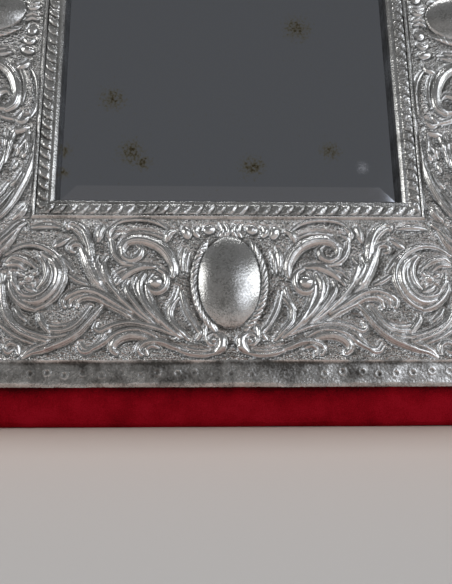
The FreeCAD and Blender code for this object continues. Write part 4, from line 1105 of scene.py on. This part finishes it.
def floor_material():
    """Pale table top, neutral further forward, warmed by a painted red bounce from the velvet near the
    mirror's foot.
    """
    material, nodes = new_material("pale_floor")
    forward = nodes.add("SeparateXYZ", {0: nodes.place()}).outputs["Y"]
    # Painted light: the red bounce from the velvet is painted into the floor's colour near the foot.
    red_bounce_share = nodes.spread(forward, FLOOR_FORWARD, (0.0, 1.0))
    nodes.shade({"Base Color": nodes.ramp(red_bounce_share, FLOOR_TONES), "Roughness": 0.75})
    return material


def area_light(name, place, size, power, colour):
    """A soft rectangular lamp."""
    data = bpy.data.lights.new(name, "AREA")
    data.shape = "RECTANGLE"
    data.size, data.size_y = size
    data.energy = power
    data.color = colour
    lamp = bpy.data.objects.new(name, data)
    lamp.location = place
    lamp.rotation_euler = (Vector(LAMP_AIM) - Vector(place)).to_track_quat("-Z", "Y").to_euler()
    bpy.context.scene.collection.objects.link(lamp)


def build_silver(material):
    """The embossed fields, borders and mouldings, which stand for the plain solids."""
    makers = {
        "field": ("embossed_panel_", field_relief, BORDER_HEIGHT, WALL_MATTING),
        "border": ("embossed_panel_", border_relief, VELVET_THICKNESS, WALL_MATTING),
        "gadroon": ("sight_moulding_", moulding_relief, -LINING_DEPTH, 0.0),
    }
    for side in SIDES:
        for word, (solid, relief, base, walls) in makers.items():
            piece = relief_piece("silver_" + word + "_" + side, side, relief(side), base, walls, material)
            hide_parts(solid + side)
            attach(piece, "frame")


def build_velvet(material):
    """The four strips of velvet, each cut as a long trapezium."""
    for side, (half_length, _, _) in SIDES.items():
        piece = velvet_piece(side, material)
        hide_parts("velvet_" + side)
        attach(piece, "frame")


def wire_ring(material):
    """The round wire ring, bent to a D, in the place of its plain solid."""
    low, high = (METRE * np.array(corner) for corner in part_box("hanging_ring"))
    bow = (high[0] - low[0]) / 2 - RING_WIRE
    bar = high[2] - RING_WIRE
    foot = low[2] + RING_WIRE + bow
    route = np.vstack([
        arc((bow - RING_CORNER, bar - RING_CORNER), RING_CORNER, 90, 0, RING_CORNER_SAMPLES),
        arc((0, foot), bow, 0, -180, RING_BOW_SAMPLES),
        arc((RING_CORNER - bow, bar - RING_CORNER), RING_CORNER, 180, 90, RING_CORNER_SAMPLES),
    ])
    ahead = np.roll(route, -1, axis=0) - np.roll(route, 1, axis=0)
    ahead /= np.linalg.norm(ahead, axis=1)[:, None]
    turns = np.linspace(0, 2 * math.pi, RING_SIDES, endpoint=False)
    side, thick = RING_WIRE * np.cos(turns), RING_WIRE * np.sin(turns)
    x = route[:, :1] + ahead[:, 1:] * side
    z = route[:, 1:] - ahead[:, :1] * side
    y = (low[1] + high[1]) / 2 + thick + 0 * x
    points = np.stack([x, y, z], axis=-1).reshape(-1, 3) * MILLIMETRE
    count = len(route)
    first = np.arange(count * RING_SIDES).reshape(count, RING_SIDES)
    ring, beside = np.roll(first, -1, axis=0), np.roll(first, -1, axis=1)
    quads = np.stack([first, beside, np.roll(beside, -1, axis=0), ring], axis=-1).reshape(-1, 4)
    u = np.repeat(np.arange(count) / count, RING_SIDES)
    v = np.tile(np.arange(RING_SIDES) / RING_SIDES, count)
    step = np.array([(0, 0), (0, 1 / RING_SIDES), (1 / count, 1 / RING_SIDES), (1 / count, 0)])
    maps = (np.stack([u, v], axis=-1)[:, None, :] + step).reshape(-1, 2)
    piece = add_piece("wire_ring", polygon_mesh("wire_ring", points, quads, [], maps), material)
    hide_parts("hanging_ring")
    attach(piece, "ring")


def dress_solids():
    """Finishes of the solids that stay as they are, and the ring's round wire."""
    level_wood, upright_wood = (
        wood(name, axis, light=(0.30, 0.17, 0.08), dark=(0.15, 0.075, 0.033))
        for name, axis in (("core_wood_x", 0), ("core_wood_z", 2))
    )
    strut_wood = wood("strut_wood", 2, light=(0.20, 0.095, 0.042), dark=(0.085, 0.036, 0.016))
    board_wood = wood("board_wood", 2, light=(0.36, 0.24, 0.13), dark=(0.22, 0.13, 0.065))
    brass = aged_metal("aged_brass", bright=(0.72, 0.50, 0.22), dull=(0.36, 0.23, 0.10), rough=0.3)
    steel = aged_metal("aged_steel", bright=(0.56, 0.55, 0.53), dull=(0.26, 0.24, 0.22), rough=0.32)
    finishes = [
        (level_wood, "core_bottom_rail", "core_top_rail", "corner_keys"),
        (upright_wood, "core_left_stile", "core_right_stile"),
        (old_mirror(), "mirror_plate"),
        (card(), "backing_card"),
        (board_wood, "backboard"),
        (steel, "backboard_sprigs", "panel_pins", "strut_pin"),
        (brass, "velvet_tacks", "strut_bracket", "bracket_screws", "hanging_strap", "strap_screws"),
        (strut_wood, "easel_strut"),
    ]
    for material, *node_names in finishes:
        for node_name in node_names:
            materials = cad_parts[node_name].data.materials
            materials.clear()
            materials.append(material)
    wire_ring(brass)


def room():
    """A dim studio, warmer and lighter near the floor."""
    world = bpy.data.worlds.new("room")
    world.use_nodes = True
    nodes = Nodes(world.node_tree)
    up = nodes.add("SeparateXYZ", {0: nodes.place("Generated")}).outputs["Z"]
    nodes.feed(world.node_tree.nodes["Background"], {"Color": nodes.ramp(up, ROOM_TONES)})
    return world


def build_stage():
    """The pale floor, the soft lamps, the dim room and the camera."""
    mesh = bpy.data.meshes.new("floor")
    corners = [(FLOOR_HALF * x, FLOOR_HALF * y, 0) for x, y in ((-1, -1), (1, -1), (1, 1), (-1, 1))]
    mesh.from_pydata(corners, [], [(0, 1, 2, 3)])
    floor = add_piece("floor", mesh, floor_material())
    for name, settings in LAMPS.items():
        area_light(name, *settings)
    scene = bpy.context.scene
    scene.world = room()
    camera = bpy.data.cameras.new("camera")
    camera.lens = CAMERA_LENS
    camera.clip_start = CAMERA_CLIP
    eye = bpy.data.objects.new("camera", camera)
    eye.location = [v * MILLIMETRE for v in CAMERA_PLACE]
    eye.location.y += FRONT_EDGE * MILLIMETRE
    turned = Euler((math.pi / 2 + CAMERA_RISE, 0, -CAMERA_HEADING)).to_matrix()
    eye.rotation_euler = (turned @ Matrix.Rotation(CAMERA_ROLL, 3, "Z")).to_euler()
    scene.collection.objects.link(eye)
    scene.camera = eye
    scene.view_settings.view_transform = "Standard"


build_silver(silver())
build_velvet(velvet())
dress_solids()
build_stage()
